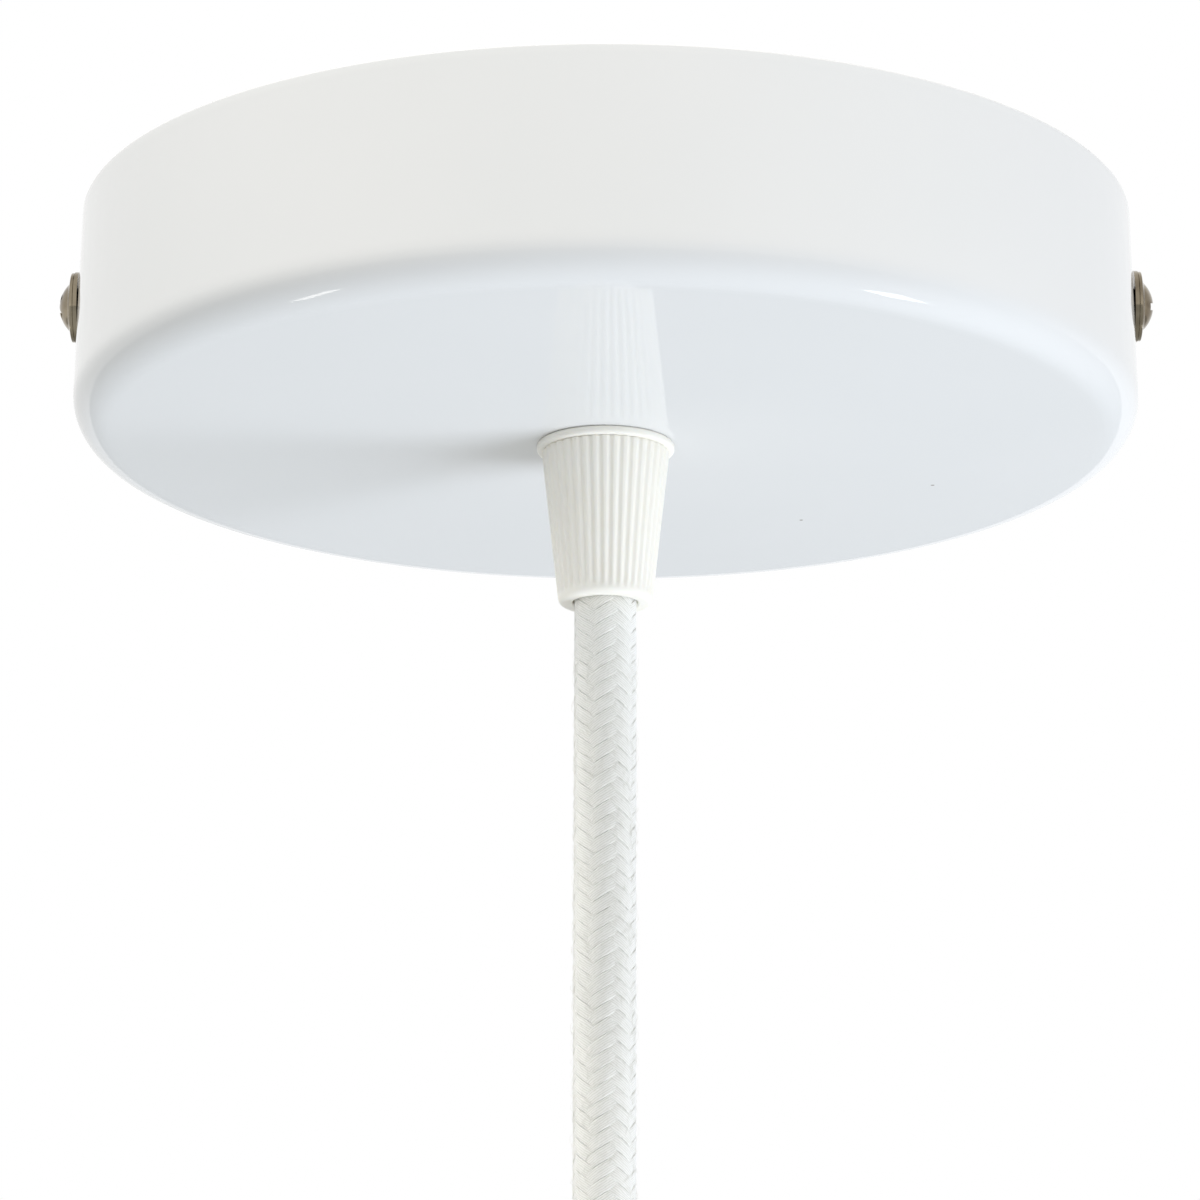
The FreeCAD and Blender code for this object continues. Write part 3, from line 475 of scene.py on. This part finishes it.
# %% Collar
COLLAR_RADIUS, COLLAR_HEIGHT, COLLAR_ROUND = 7.75, 0.95, 0.36
COLLAR_COLUMNS, COLLAR_STEP = 160, 0.3
CAP_TOP = -CUP_HEIGHT - COLLAR_HEIGHT
collar_outline = rounded_outline([
    (STEM_HOLE, -CUP_HEIGHT, EDGE_ROUND),
    (COLLAR_RADIUS, -CUP_HEIGHT, COLLAR_ROUND),
    (COLLAR_RADIUS, CAP_TOP, COLLAR_ROUND),
    (STEM_HOLE, CAP_TOP, EDGE_ROUND),
], COLLAR_STEP)
collar_points = turned_grid(collar_outline, COLLAR_COLUMNS).reshape(-1, 3)
collar_faces = facing_out(collar_points, grid_faces(len(collar_outline), COLLAR_COLUMNS, close_rows=True))
collar = surface_piece("nylon_collar", collar_points, collar_faces)
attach(collar, "grip_collar")
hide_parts("grip_collar")

# %% [markdown]
# ## The fluted cap
# The cap is what a hand turns to clamp the cable: a cone with 38 shallow flutes that give the
# fingers hold and stop short of a smooth lip. Inside, a cone presses the jaws together. The
# flutes could be cut one by one; here they are a wave of the angle that is taken off the radius,
# with a share that fades out towards the lip.

# %% Cap
CAP_BOTTOM = GRIP_MOUTH[2]
CAP_TOP_RADIUS, CAP_BOTTOM_RADIUS, CAP_ROUND, CAP_EDGE_ROUND = 7.2, 5.25, 0.7, 0.15
MOUTH_RADIUS, MOUTH_LENGTH = 3.65, 2
BORE_RADIUS, BORE_LENGTH, BORE_ROUND = 5.05, 7, 0.2
FLUTES, FLUTE_DEPTH, FLUTE_HALF, FLUTE_STOP, FLUTE_FADE = 38, 0.2, 0.42, 0.85, 0.3
COLUMNS_PER_FLUTE, CAP_STEP = 16, 0.35

cap_outline = rounded_outline([
    (BORE_RADIUS, CAP_TOP, EDGE_ROUND),
    (CAP_TOP_RADIUS, CAP_TOP, CAP_EDGE_ROUND),
    (CAP_BOTTOM_RADIUS, CAP_BOTTOM, CAP_ROUND),
    (MOUTH_RADIUS, CAP_BOTTOM, CAP_ROUND / 2),
    (MOUTH_RADIUS, CAP_BOTTOM + MOUTH_LENGTH, BORE_ROUND),
    (BORE_RADIUS, CAP_TOP - BORE_LENGTH, BORE_ROUND),
], CAP_STEP)


def fluted_grid(outline, count):
    """The outline turned about Z, with the flutes taken off the radius of its outer side.

    At a distance x along the circle from a flute's middle the flute is
    depth * (1 - (x / half)^2)^2 deep, and 0 beyond half. The depth fades out over the last stretch.
    """
    grid = turned_grid(outline, count)
    radius = np.hypot(grid[..., 0], grid[..., 1])
    outer_side = outline[:, 0] > BORE_RADIUS + EDGE_ROUND
    rise = (outline[:, 1] - CAP_BOTTOM - FLUTE_STOP) / FLUTE_FADE
    fade = np.where(outer_side, np.clip(rise, 0, 1), 0)
    fade = fade * fade * (3 - 2 * fade)
    share = (np.arange(count) * FLUTES / count + 0.5) % 1 - 0.5
    apart = np.abs(share) * 2 * np.pi * radius / FLUTES
    depth = FLUTE_DEPTH * fade[:, None] * np.clip(1 - (apart / FLUTE_HALF) ** 2, 0, 1) ** 2
    grid[..., :2] *= (1 - depth / radius)[..., None]
    return grid


cap_columns = FLUTES * COLUMNS_PER_FLUTE
cap_points = fluted_grid(cap_outline, cap_columns).reshape(-1, 3)
cap_faces = facing_out(cap_points, grid_faces(len(cap_outline), cap_columns, close_rows=True))
cap = surface_piece("fluted_cap", cap_points, cap_faces, sharp=50)
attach(cap, "grip_cap")
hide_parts("grip_cap")

# %% [markdown]
# ## Finishes
# A finish here is a small tree of nodes. One function adds a node, sets its properties and fills
# its sockets, and one turns the sRGB colours that a paint card gives into the linear values that
# the renderer works with. Clicking nodes together would do the same, but a script can say where
# each number comes from. Patterns are measured in millimetres: a noise with one blob every d
# millimetres has the scale 1 / d once d is in metres.

# %% Colour and nodes
def linear(colour):
    """sRGB hex to linear RGBA: c / 12.92 up to 0.04045, and ((c + 0.055) / 1.055)^2.4 above."""
    shares = [int(colour[k:k + 2], 16) / 255 for k in (1, 3, 5)]
    return (*(c / 12.92 if c <= 0.04045 else ((c + 0.055) / 1.055) ** 2.4 for c in shares), 1)


def add(tree, kind, inputs=None, **settings):
    """Adds a node: settings are its properties, inputs fill its sockets with values or links."""
    made = tree.nodes.new(kind)
    for name, value in settings.items():
        setattr(made, name, value)
    for socket, value in (inputs or {}).items():
        if isinstance(value, bpy.types.NodeSocket):
            tree.links.new(value, made.inputs[socket])
        else:
            made.inputs[socket].default_value = value
    return made


def per_mm(size):
    """The scale at which a pattern repeats about once every size millimetres."""
    return 1 / (size * MM)


def finish(name, **sockets):
    """A new material with a Principled surface; gives the material, its tree and its surface node."""
    material = bpy.data.materials.new(name)
    material.use_nodes = True
    tree = material.node_tree
    tree.nodes.clear()
    named = {key.replace("_", " "): value for key, value in sockets.items()}
    surface = add(tree, "ShaderNodeBsdfPrincipled", named)
    add(tree, "ShaderNodeOutputMaterial", {"Surface": surface.outputs[0]})
    return material, tree, surface


FINISHES = {}
print("half grey in sRGB is", round(linear("#808080")[0], 3), "in linear light")

# %% [markdown]
# ## Threads
# The side screws and the grip's stem have threads, of which a few turns show when they are
# unscrewed. A groove wound round each of them would take tens of thousands of faces for ridges of
# a third of a millimetre, so the finish draws them as bump, on the solids' plain cylinders.

# %% Thread pattern
def thread_normal(tree, spot, along, across, up, centre, pitch, depth, reach):
    """The normal of a thread: a ridge every pitch along its axis, shifted by one pitch in a turn.

    With the phase place / pitch + angle / 360 deg the height goes up and down once for each whole
    step of the phase. Further than reach from the origin along the axis it is 0. The numbers
    along, across and up pick the coordinates, and centre is the axis's place in the last of them.
    """
    axes = add(tree, "ShaderNodeSeparateXYZ", {0: spot}).outputs
    place = add(tree, "ShaderNodeMath", {0: axes[along]}, operation="ABSOLUTE").outputs[0]
    rise = add(tree, "ShaderNodeMath", {0: axes[up], 1: centre * MM}, operation="SUBTRACT").outputs[0]
    angle = add(tree, "ShaderNodeMath", {0: rise, 1: axes[across]}, operation="ARCTAN2").outputs[0]
    share = add(tree, "ShaderNodeMath", {0: angle, 1: 2 * math.pi}, operation="DIVIDE").outputs[0]
    steps = {0: place, 1: per_mm(pitch), 2: share}
    phase = add(tree, "ShaderNodeMath", steps, operation="MULTIPLY_ADD").outputs[0]
    ridge = add(tree, "ShaderNodeMath", {0: phase, 1: 0.5}, operation="PINGPONG").outputs[0]
    within = add(tree, "ShaderNodeMath", {0: place, 1: reach * MM}, operation="LESS_THAN").outputs[0]
    height = add(tree, "ShaderNodeMath", {0: ridge, 1: within}, operation="MULTIPLY").outputs[0]
    bump = {"Height": height, "Strength": 1.0, "Distance": 2 * depth * MM}
    return add(tree, "ShaderNodeBump", bump).outputs[0]


PAST_STEM_END = 99
STEM_THREAD = {
    "along": 2, "across": 0, "up": 1, "centre": 0, "pitch": 1, "depth": 0.3,
    "reach": PAST_STEM_END,
}
SCREW_THREAD = {
    "along": 0, "across": 1, "up": 2, "centre": -SCREW_DROP, "pitch": 0.7, "depth": 0.3,
    "reach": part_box("side_washer_right")[0][0] / MM,
}
print("threads:", STEM_THREAD["pitch"], "mm on the stem,", SCREW_THREAD["pitch"], "mm on the screws")

# %% [markdown]
# ## Stove enamel
# The cup is sprayed with white enamel and baked. That gives a hard glossy skin with a very slight
# ripple, as on an orange's peel, a hint of unevenness in its white, and two grey specks where
# dust was caught. A mirror-smooth white would look like plastic film; the ripple breaks up the
# edge of each reflection a little.

# %% Enamel
ENAMEL_CLOUD, ENAMEL_RIPPLE, RIPPLE_HEIGHT = 30, 2.5, 0.02
ENAMEL_SMOOTH, ENAMEL_ROUGH = 0.03, 0.05
SPECKS = ((37.6, 16.2, -CUP_HEIGHT), (22.8, 30.6, -CUP_HEIGHT))
SPECK_RADIUS = 0.22
enamel, tree, surface = finish("stove_enamel_white", IOR=1.52)
spot = add(tree, "ShaderNodeTexCoord").outputs["Object"]
cloud = add(tree, "ShaderNodeTexNoise", {"Vector": spot, "Scale": per_mm(ENAMEL_CLOUD), "Detail": 2.0})
shade = add(tree, "ShaderNodeMix", {
    0: cloud.outputs[0], 6: linear("#E9EAE9"), 7: linear("#EDEDEC"),
}, data_type="RGBA")
gloss = add(tree, "ShaderNodeMapRange", {0: cloud.outputs[0], 3: ENAMEL_SMOOTH, 4: ENAMEL_ROUGH})
ripple = add(tree, "ShaderNodeTexNoise", {"Vector": spot, "Scale": per_mm(ENAMEL_RIPPLE), "Detail": 1.0})
skin = add(tree, "ShaderNodeBump", {
    "Height": ripple.outputs[0], "Strength": 0.05, "Distance": RIPPLE_HEIGHT * MM,
})
colour = shade.outputs[2]
for place in SPECKS:
    apart = add(tree, "ShaderNodeVectorMath", {0: spot, 1: Vector(place) * MM}, operation="DISTANCE")
    near = add(tree, "ShaderNodeMath", {
        0: apart.outputs["Value"], 1: SPECK_RADIUS * MM,
    }, operation="LESS_THAN")
    speck = {0: near.outputs[0], 6: colour, 7: linear("#A5A098")}
    colour = add(tree, "ShaderNodeMix", speck, data_type="RGBA").outputs[2]
tree.links.new(colour, surface.inputs["Base Color"])
tree.links.new(gloss.outputs[0], surface.inputs["Roughness"])
tree.links.new(skin.outputs[0], surface.inputs["Normal"])
FINISHES["enamel"] = enamel
print("enamel: ripple every", ENAMEL_RIPPLE, "mm,", len(SPECKS), "specks")

# %% [markdown]
# ## Moulded nylon
# The cord grip and the terminal block are injection moulded nylon in its natural white. Light goes
# a little way into it, so thin edges glow and shadows inside the flutes stay warm and soft. That
# is subsurface scattering with a reach of about a millimetre, and a satin skin from the mould. A
# plain diffuse white would be quicker to render, but the flutes would look like painted wood.

# %% Nylon
GLOW_REACH = 0.8
NYLON_CLOUD, NYLON_GRAIN, GRAIN_HEIGHT = 4, 0.25, 0.01
GRIP_WHITE = ("#FEFBF3", "#FCF8EC", 0.15)


def nylon(name, light, dark, glow, thread=None):
    """Moulded nylon: two near whites in clouds, scattering inside, mould grain, a thread if given."""
    material, tree, surface = finish(
        name, IOR=1.53, Roughness=0.36, Subsurface_Weight=glow, Subsurface_Scale=GLOW_REACH * MM,
        Subsurface_Radius=(1.0, 0.85, 0.62),
    )
    spot = add(tree, "ShaderNodeTexCoord").outputs["Object"]
    cloud = add(tree, "ShaderNodeTexNoise", {"Vector": spot, "Scale": per_mm(NYLON_CLOUD), "Detail": 3.0})
    shade = add(tree, "ShaderNodeMix", {
        0: cloud.outputs[0], 6: linear(light), 7: linear(dark),
    }, data_type="RGBA")
    grain = add(tree, "ShaderNodeTexNoise", {"Vector": spot, "Scale": per_mm(NYLON_GRAIN), "Detail": 2.0})
    skin = add(tree, "ShaderNodeBump", {
        "Height": grain.outputs[0], "Strength": 0.15, "Distance": GRAIN_HEIGHT * MM,
    })
    if thread:
        tree.links.new(thread_normal(tree, spot, **thread), skin.inputs["Normal"])
    tree.links.new(shade.outputs[2], surface.inputs["Base Color"])
    tree.links.new(skin.outputs[0], surface.inputs["Normal"])
    return material


FINISHES["grip_nylon"] = nylon("moulded_nylon_white", *GRIP_WHITE)
FINISHES["grip_stem"] = nylon("moulded_nylon_thread", *GRIP_WHITE, thread=STEM_THREAD)
FINISHES["block_nylon"] = nylon("moulded_nylon_natural", "#ECE8DA", "#E2DDCB", 0.3)
print("nylon: light reaches", GLOW_REACH, "mm")

# %% [markdown]
# ## Braided yarn
# The braid is matt white yarn. Each bundle holds dozens of fine threads side by side, too fine to
# show in the render, so they are drawn coarser, as six lines along the ribbon: in bump, and in a
# colour that is darker in the grooves between them, which is painted shade. The pattern reads
# the ribbon's own UV map: across it the threads, and along it a slow change. Object coordinates
# would run straight through the weave. Loose fibres at the edge catch the light, which is sheen.

# %% Yarn
THREADS = 6
CHANGES_PER_MM, THREAD_WANDER, THREAD_HEIGHT = 1.6, 9.0, 0.04
yarn, tree, surface = finish("braided_white_yarn", Roughness=0.82, Sheen_Weight=1.0, Sheen_Roughness=0.7)
place = add(tree, "ShaderNodeUVMap", uv_map="yarn").outputs[0]
lanes = add(tree, "ShaderNodeMapping", {"Vector": place, "Scale": (THREADS / 2, CHANGES_PER_MM, 1)})
uneven = add(tree, "ShaderNodeTexNoise", {
    "Vector": lanes.outputs[0], "Scale": 1.0, "Detail": 3.0, "Roughness": 0.6,
})
across = add(tree, "ShaderNodeSeparateXYZ", {0: place}).outputs[0]
lane = add(tree, "ShaderNodeMath", {0: across, 1: THREADS * 2 * math.pi}, operation="MULTIPLY")
bent = add(tree, "ShaderNodeMath", {
    0: uneven.outputs[0], 1: THREAD_WANDER, 2: lane.outputs[0],
}, operation="MULTIPLY_ADD")
crown = add(tree, "ShaderNodeMath", {0: bent.outputs[0]}, operation="SINE")
thread = add(tree, "ShaderNodeMapRange", {0: crown.outputs[0], 1: -1.0, 2: 0.6})
# painted shade: the colour runs from #E4E3DA in the grooves between the threads to #FCFBF5 on their crowns
shade = add(tree, "ShaderNodeMix", {
    0: thread.outputs[0], 6: linear("#E4E3DA"), 7: linear("#FCFBF5"),
}, data_type="RGBA")
twist = add(tree, "ShaderNodeBump", {
    "Height": thread.outputs[0], "Strength": 0.5, "Distance": THREAD_HEIGHT * MM,
})
tree.links.new(shade.outputs[2], surface.inputs["Base Color"])
tree.links.new(twist.outputs[0], surface.inputs["Normal"])
FINISHES["cord_braid"] = yarn
print("yarn:", THREADS, "lines in a bundle")

# %% [markdown]
# ## Plated and bare metals
# Screws, bracket and terminals are metal with different skins: warm nickel on the two screws that
# show, bright zinc inside, turned brass, tin and copper. On the screws the dark tone, in sharp
# patches, is a painted reflection of a dark room, so they look dark with bright spots. They differ
# in colour and in how even the skin is, so one function makes them all from a light and a dark
# tone. A single colour would do for new metal; the other metals only vary a little at random.

# %% Metals
ROUGH_SPREAD, SCRATCH_HEIGHT = 0.3, 0.01
# painted reflection: the dark tone #5A4E3E, in sharp patches, stands in for a dark room mirrored in the
# screws; #B1A690 is the nickel
NICKEL_AND_PAINTED_REFLECTION = ("#B1A690", "#5A4E3E", 3.5, 0.11, 0.2, 0.3)


def metal(name, light, dark, cloud_size, rough, scratch_size, blend=0.5, thread=None):
    """A metal skin: two tones in clouds, a roughness that follows them, fine scratches.

    The tones go over into each other where the cloud is between 0.5 - blend and 0.5 + blend.
    Where a thread is given, its ridges lie under the scratches.
    """
    material, tree, surface = finish(name, Metallic=1.0)
    spot = add(tree, "ShaderNodeTexCoord").outputs["Object"]
    cloud = add(tree, "ShaderNodeTexNoise", {"Vector": spot, "Scale": per_mm(cloud_size), "Detail": 4.0})
    tone = add(tree, "ShaderNodeMapRange", {0: cloud.outputs[0], 1: 0.5 - blend, 2: 0.5 + blend})
    shade = add(tree, "ShaderNodeMix", {
        0: tone.outputs[0], 6: linear(dark), 7: linear(light),
    }, data_type="RGBA")
    gloss = add(tree, "ShaderNodeMapRange", {
        0: cloud.outputs[0], 3: rough * (1 + ROUGH_SPREAD), 4: rough * (1 - ROUGH_SPREAD),
    })
    scratch = add(tree, "ShaderNodeTexNoise", {"Vector": spot, "Scale": per_mm(scratch_size), "Detail": 2.0})
    skin = add(tree, "ShaderNodeBump", {
        "Height": scratch.outputs[0], "Strength": 0.2, "Distance": SCRATCH_HEIGHT * MM,
    })
    if thread:
        tree.links.new(thread_normal(tree, spot, **thread), skin.inputs["Normal"])
    tree.links.new(shade.outputs[2], surface.inputs["Base Color"])
    tree.links.new(gloss.outputs[0], surface.inputs["Roughness"])
    tree.links.new(skin.outputs[0], surface.inputs["Normal"])
    return material


FINISHES["nickel_plate"] = metal("nickel_with_painted_reflection", *NICKEL_AND_PAINTED_REFLECTION)
screw_finish = metal("nickel_thread_with_painted_reflection", *NICKEL_AND_PAINTED_REFLECTION, thread=SCREW_THREAD)
FINISHES["side_screw_right"] = screw_finish
FINISHES["side_screw_left"] = screw_finish
FINISHES["zinc_steel"] = metal("bright_zinc_plate", "#C9CDD0", "#AEB4B8", 3, 0.32, 0.3)
FINISHES["terminal_brass"] = metal("turned_brass", "#D9B566", "#BE9646", 2, 0.25, 0.2)
FINISHES["tinned_copper"] = metal("tinned_copper", "#CFCBC4", "#B7B2AA", 1.5, 0.3, 0.2)
FINISHES["bare_copper"] = metal("bare_copper", "#D58D63", "#B96F48", 1, 0.3, 0.2)
print("finishes so far:", len(FINISHES))

# %% [markdown]
# ## Core insulation and sleeve
# The cores have soft coloured insulation, and the earth core is two-coloured: a yellow stripe on
# green. It bends only in the upright plane Y = 0, so the Y coordinate finds the stripe; a core that
# winds would need a UV map. The shrink sleeve is a thin white film that has drawn tight and
# wrinkled a little.

# %% Insulation
STRIPE_HALF = 0.55
INSULATION_CLOUD, WRINKLE_HEIGHT = 0.8, 0.02


def insulation(name, light, dark, rough=0.4, stripe=None):
    """Soft insulation: two tones in fine clouds and, if its colour is given, a stripe where Y is near 0."""
    material, tree, surface = finish(name, IOR=1.5, Roughness=rough)
    spot = add(tree, "ShaderNodeTexCoord").outputs["Object"]
    cloud = add(tree, "ShaderNodeTexNoise", {
        "Vector": spot, "Scale": per_mm(INSULATION_CLOUD), "Detail": 3.0,
    })
    shade = add(tree, "ShaderNodeMix", {
        0: cloud.outputs[0], 6: linear(dark), 7: linear(light),
    }, data_type="RGBA")
    colour = shade.outputs[2]
    if stripe:
        axes = add(tree, "ShaderNodeSeparateXYZ", {0: spot}).outputs
        side = add(tree, "ShaderNodeMath", {0: axes[1]}, operation="ABSOLUTE").outputs[0]
        band = add(tree, "ShaderNodeMath", {0: side, 1: STRIPE_HALF * MM}, operation="LESS_THAN").outputs[0]
        striped = {0: band, 6: colour, 7: linear(stripe)}
        colour = add(tree, "ShaderNodeMix", striped, data_type="RGBA").outputs[2]
    skin = add(tree, "ShaderNodeBump", {
        "Height": cloud.outputs[0], "Strength": 0.2, "Distance": WRINKLE_HEIGHT * MM,
    })
    tree.links.new(colour, surface.inputs["Base Color"])
    tree.links.new(skin.outputs[0], surface.inputs["Normal"])
    return material


FINISHES["live_insulation"] = insulation("brown_insulation", "#6B3F26", "#5A3320")
FINISHES["neutral_insulation"] = insulation("blue_insulation", "#2C5FA8", "#23508F")
FINISHES["earth_insulation"] = insulation("green_yellow_insulation", "#3C8C3A", "#2F7A30", stripe="#E2C531")
FINISHES["shrink_sleeve"] = insulation("white_shrink_sleeve", "#EFEFEC", "#E4E4E0", rough=0.3)
print("finishes:", sorted(FINISHES))

# %% [markdown]
# ## Finishes on the pieces
# The record names a finish for each piece of the solid model, so the pieces that stay as they are
# get it by name, and the new pieces get the finish of the slot that they stand for. Only the
# threaded pieces have a finish under their own name. Assigning them by hand would work for a few
# pieces, but a table keeps the record and the picture together.

# %% Dress the pieces
for part in frame["record"]["subparts"]:
    solid = NODES[part["node"]].data
    solid.materials.clear()
    solid.materials.append(FINISHES.get(part["node"], FINISHES[part["material_slot"]]))
new_pieces = ((cup, "enamel"), (collar, "grip_nylon"), (cap, "grip_nylon"), (cable, "cord_braid"))
for piece, slot in new_pieces:
    piece.data.materials.append(FINISHES[slot])

# %% [markdown]
# ## The floor
# A pale studio floor lies far below the lamp. The camera looks up and doesn't see it, but the
# glossy underside of the cup mirrors it, so its tone matters. It could be a backdrop that curves
# up behind; a flat sheet is enough, and it is low enough for a camera to look up from below.

# %% Floor
FLOOR_DROP, FLOOR_HALF, FLOOR_CLOUD = -1500, 7500, 400
corners = [(x * FLOOR_HALF, y * FLOOR_HALF, FLOOR_DROP) for x, y in ((-1, -1), (1, -1), (1, 1), (-1, 1))]
floor_mesh = bpy.data.meshes.new("studio_floor")
floor_mesh.from_pydata((np.array(corners) * MM).tolist(), [], [(0, 1, 2, 3)])
floor = bpy.data.objects.new("studio_floor", floor_mesh)
bpy.context.scene.collection.objects.link(floor)
floor_finish, tree, surface = finish("pale_studio_floor", Roughness=0.9)
spot = add(tree, "ShaderNodeTexCoord").outputs["Object"]
cloud = add(tree, "ShaderNodeTexNoise", {"Vector": spot, "Scale": per_mm(FLOOR_CLOUD), "Detail": 2.0})
shade = add(tree, "ShaderNodeMix", {
    0: cloud.outputs[0], 6: linear("#D0D3D4"), 7: linear("#D6D9DA"),
}, data_type="RGBA")
tree.links.new(shade.outputs[2], surface.inputs["Base Color"])
floor_mesh.materials.append(floor_finish)
print("floor:", FLOOR_DROP, "mm")

# %% [markdown]
# ## The sky
# The sky is an even white studio, and it has two tasks. Rays that the camera sends straight into
# it, or that glass or a shiny surface sends there, find plain white. The light that it throws on
# matt surfaces is calmer, and weaker from the sides than from above. A picture of a studio could
# light the scene too, but a slope from low to high says the same in two numbers.

# %% Sky
SKY_LOW, SKY_HIGH = 0.61, 0.9
world = bpy.data.worlds.new("studio_sky")
bpy.context.scene.world = world
world.use_nodes = True
tree = world.node_tree
tree.nodes.clear()
path = add(tree, "ShaderNodeLightPath").outputs
way = add(tree, "ShaderNodeSeparateXYZ", {0: add(tree, "ShaderNodeTexCoord").outputs["Generated"]}).outputs
lit = add(tree, "ShaderNodeMapRange", {0: way[2], 3: SKY_LOW, 4: SKY_HIGH}).outputs[0]
straight = {0: path["Is Camera Ray"], 1: path["Is Transmission Ray"]}
seen = add(tree, "ShaderNodeMath", straight, operation="MAXIMUM").outputs[0]
seen = add(tree, "ShaderNodeMath", {0: seen, 1: path["Is Glossy Ray"]}, operation="MAXIMUM").outputs[0]
strength = add(tree, "ShaderNodeMix", {0: seen, 2: lit, 3: 1.0})
sky = add(tree, "ShaderNodeBackground", {"Color": linear("#FFFFFF"), "Strength": strength.outputs[0]})
add(tree, "ShaderNodeOutputWorld", {"Surface": sky.outputs[0]})
print("sky strength:", SKY_LOW, "to", SKY_HIGH)

# %% [markdown]
# ## The lamps
# The key is a large soft lamp low on the right, which throws the grip's shadow to the left. Fills
# from high in front and from both sides lift the wall, and two narrow beams brighten the cable's
# left side and the grip, like studio lamps with a tube in front. Such a beam needs only a little
# power, because all its light lands on one spot. These six light the object and aren't mirrored.
# Two small lamps do the opposite: they only draw the two bright glints on the cup's rounded
# corner. One lamp could do both, but then a glint couldn't be placed on its own.

# %% Lamps
WARM, COOL, COOLER = "#FFFCF6", "#EBF2FE", "#E4EEFF"


def soft_lamp(name, place, aim, size, watts, colour, mirrored=True, lighting=True, beam=180):
    """A flat lamp, in millimetres, that shines from place to aim within beam degrees.

    Without mirrored it doesn't show in reflections, and without lighting it shows only there.
    """
    lamp = bpy.data.lights.new(name, "AREA")
    lamp.shape = "RECTANGLE"
    lamp.size, lamp.size_y = size[0] * MM, size[1] * MM
    lamp.energy = watts
    lamp.spread = math.radians(beam)
    lamp.color = linear(colour)[:3]
    holder = bpy.data.objects.new(name, lamp)
    holder.rotation_euler = (Vector(aim) - Vector(place)).to_track_quat("-Z", "Y").to_euler()
    holder.location = Vector(place) * MM
    holder.visible_glossy = mirrored
    holder.visible_diffuse = lighting
    bpy.context.scene.collection.objects.link(holder)
    print(name, watts, "W")


soft_lamp("high_front", (-155, -425, 848), (0, 0, -10), (500, 500), 6.3, WARM, mirrored=False)
soft_lamp("left_window", (-880, -60, 340), (0, 0, -60), (400, 400), 0.5, WARM, mirrored=False)
soft_lamp("cable_left", (-420, 20, -85), (0, 0, -85), (30, 70), 0.0035, WARM, mirrored=False, beam=8)
soft_lamp("grip_right", (330, -330, -60), (0, 0, -36), (10, 10), 0.00017, COOLER, mirrored=False, beam=6)
soft_lamp("side_right", (640, -120, -405), (0, 0, -30), (600, 600), 0.6, COOL, mirrored=False)
soft_lamp("key_right", (394, -109, -659), (0, 0, -30), (300, 300), 3.0, COOL, mirrored=False)
soft_lamp("key_heart", (428, 48, -631), (0, 0, -30), (130, 85), 0.34, COOL, lighting=False)
soft_lamp("left_glint", (-423, 36, -622), (0, 0, -30), (166, 38), 0.105, WARM, lighting=False)

# %% [markdown]
# ## The colour view
# The Standard view shows a colour about as it is written; a film-like view would grey the white.

# %% Finish
bpy.context.scene.view_settings.view_transform = "Standard"
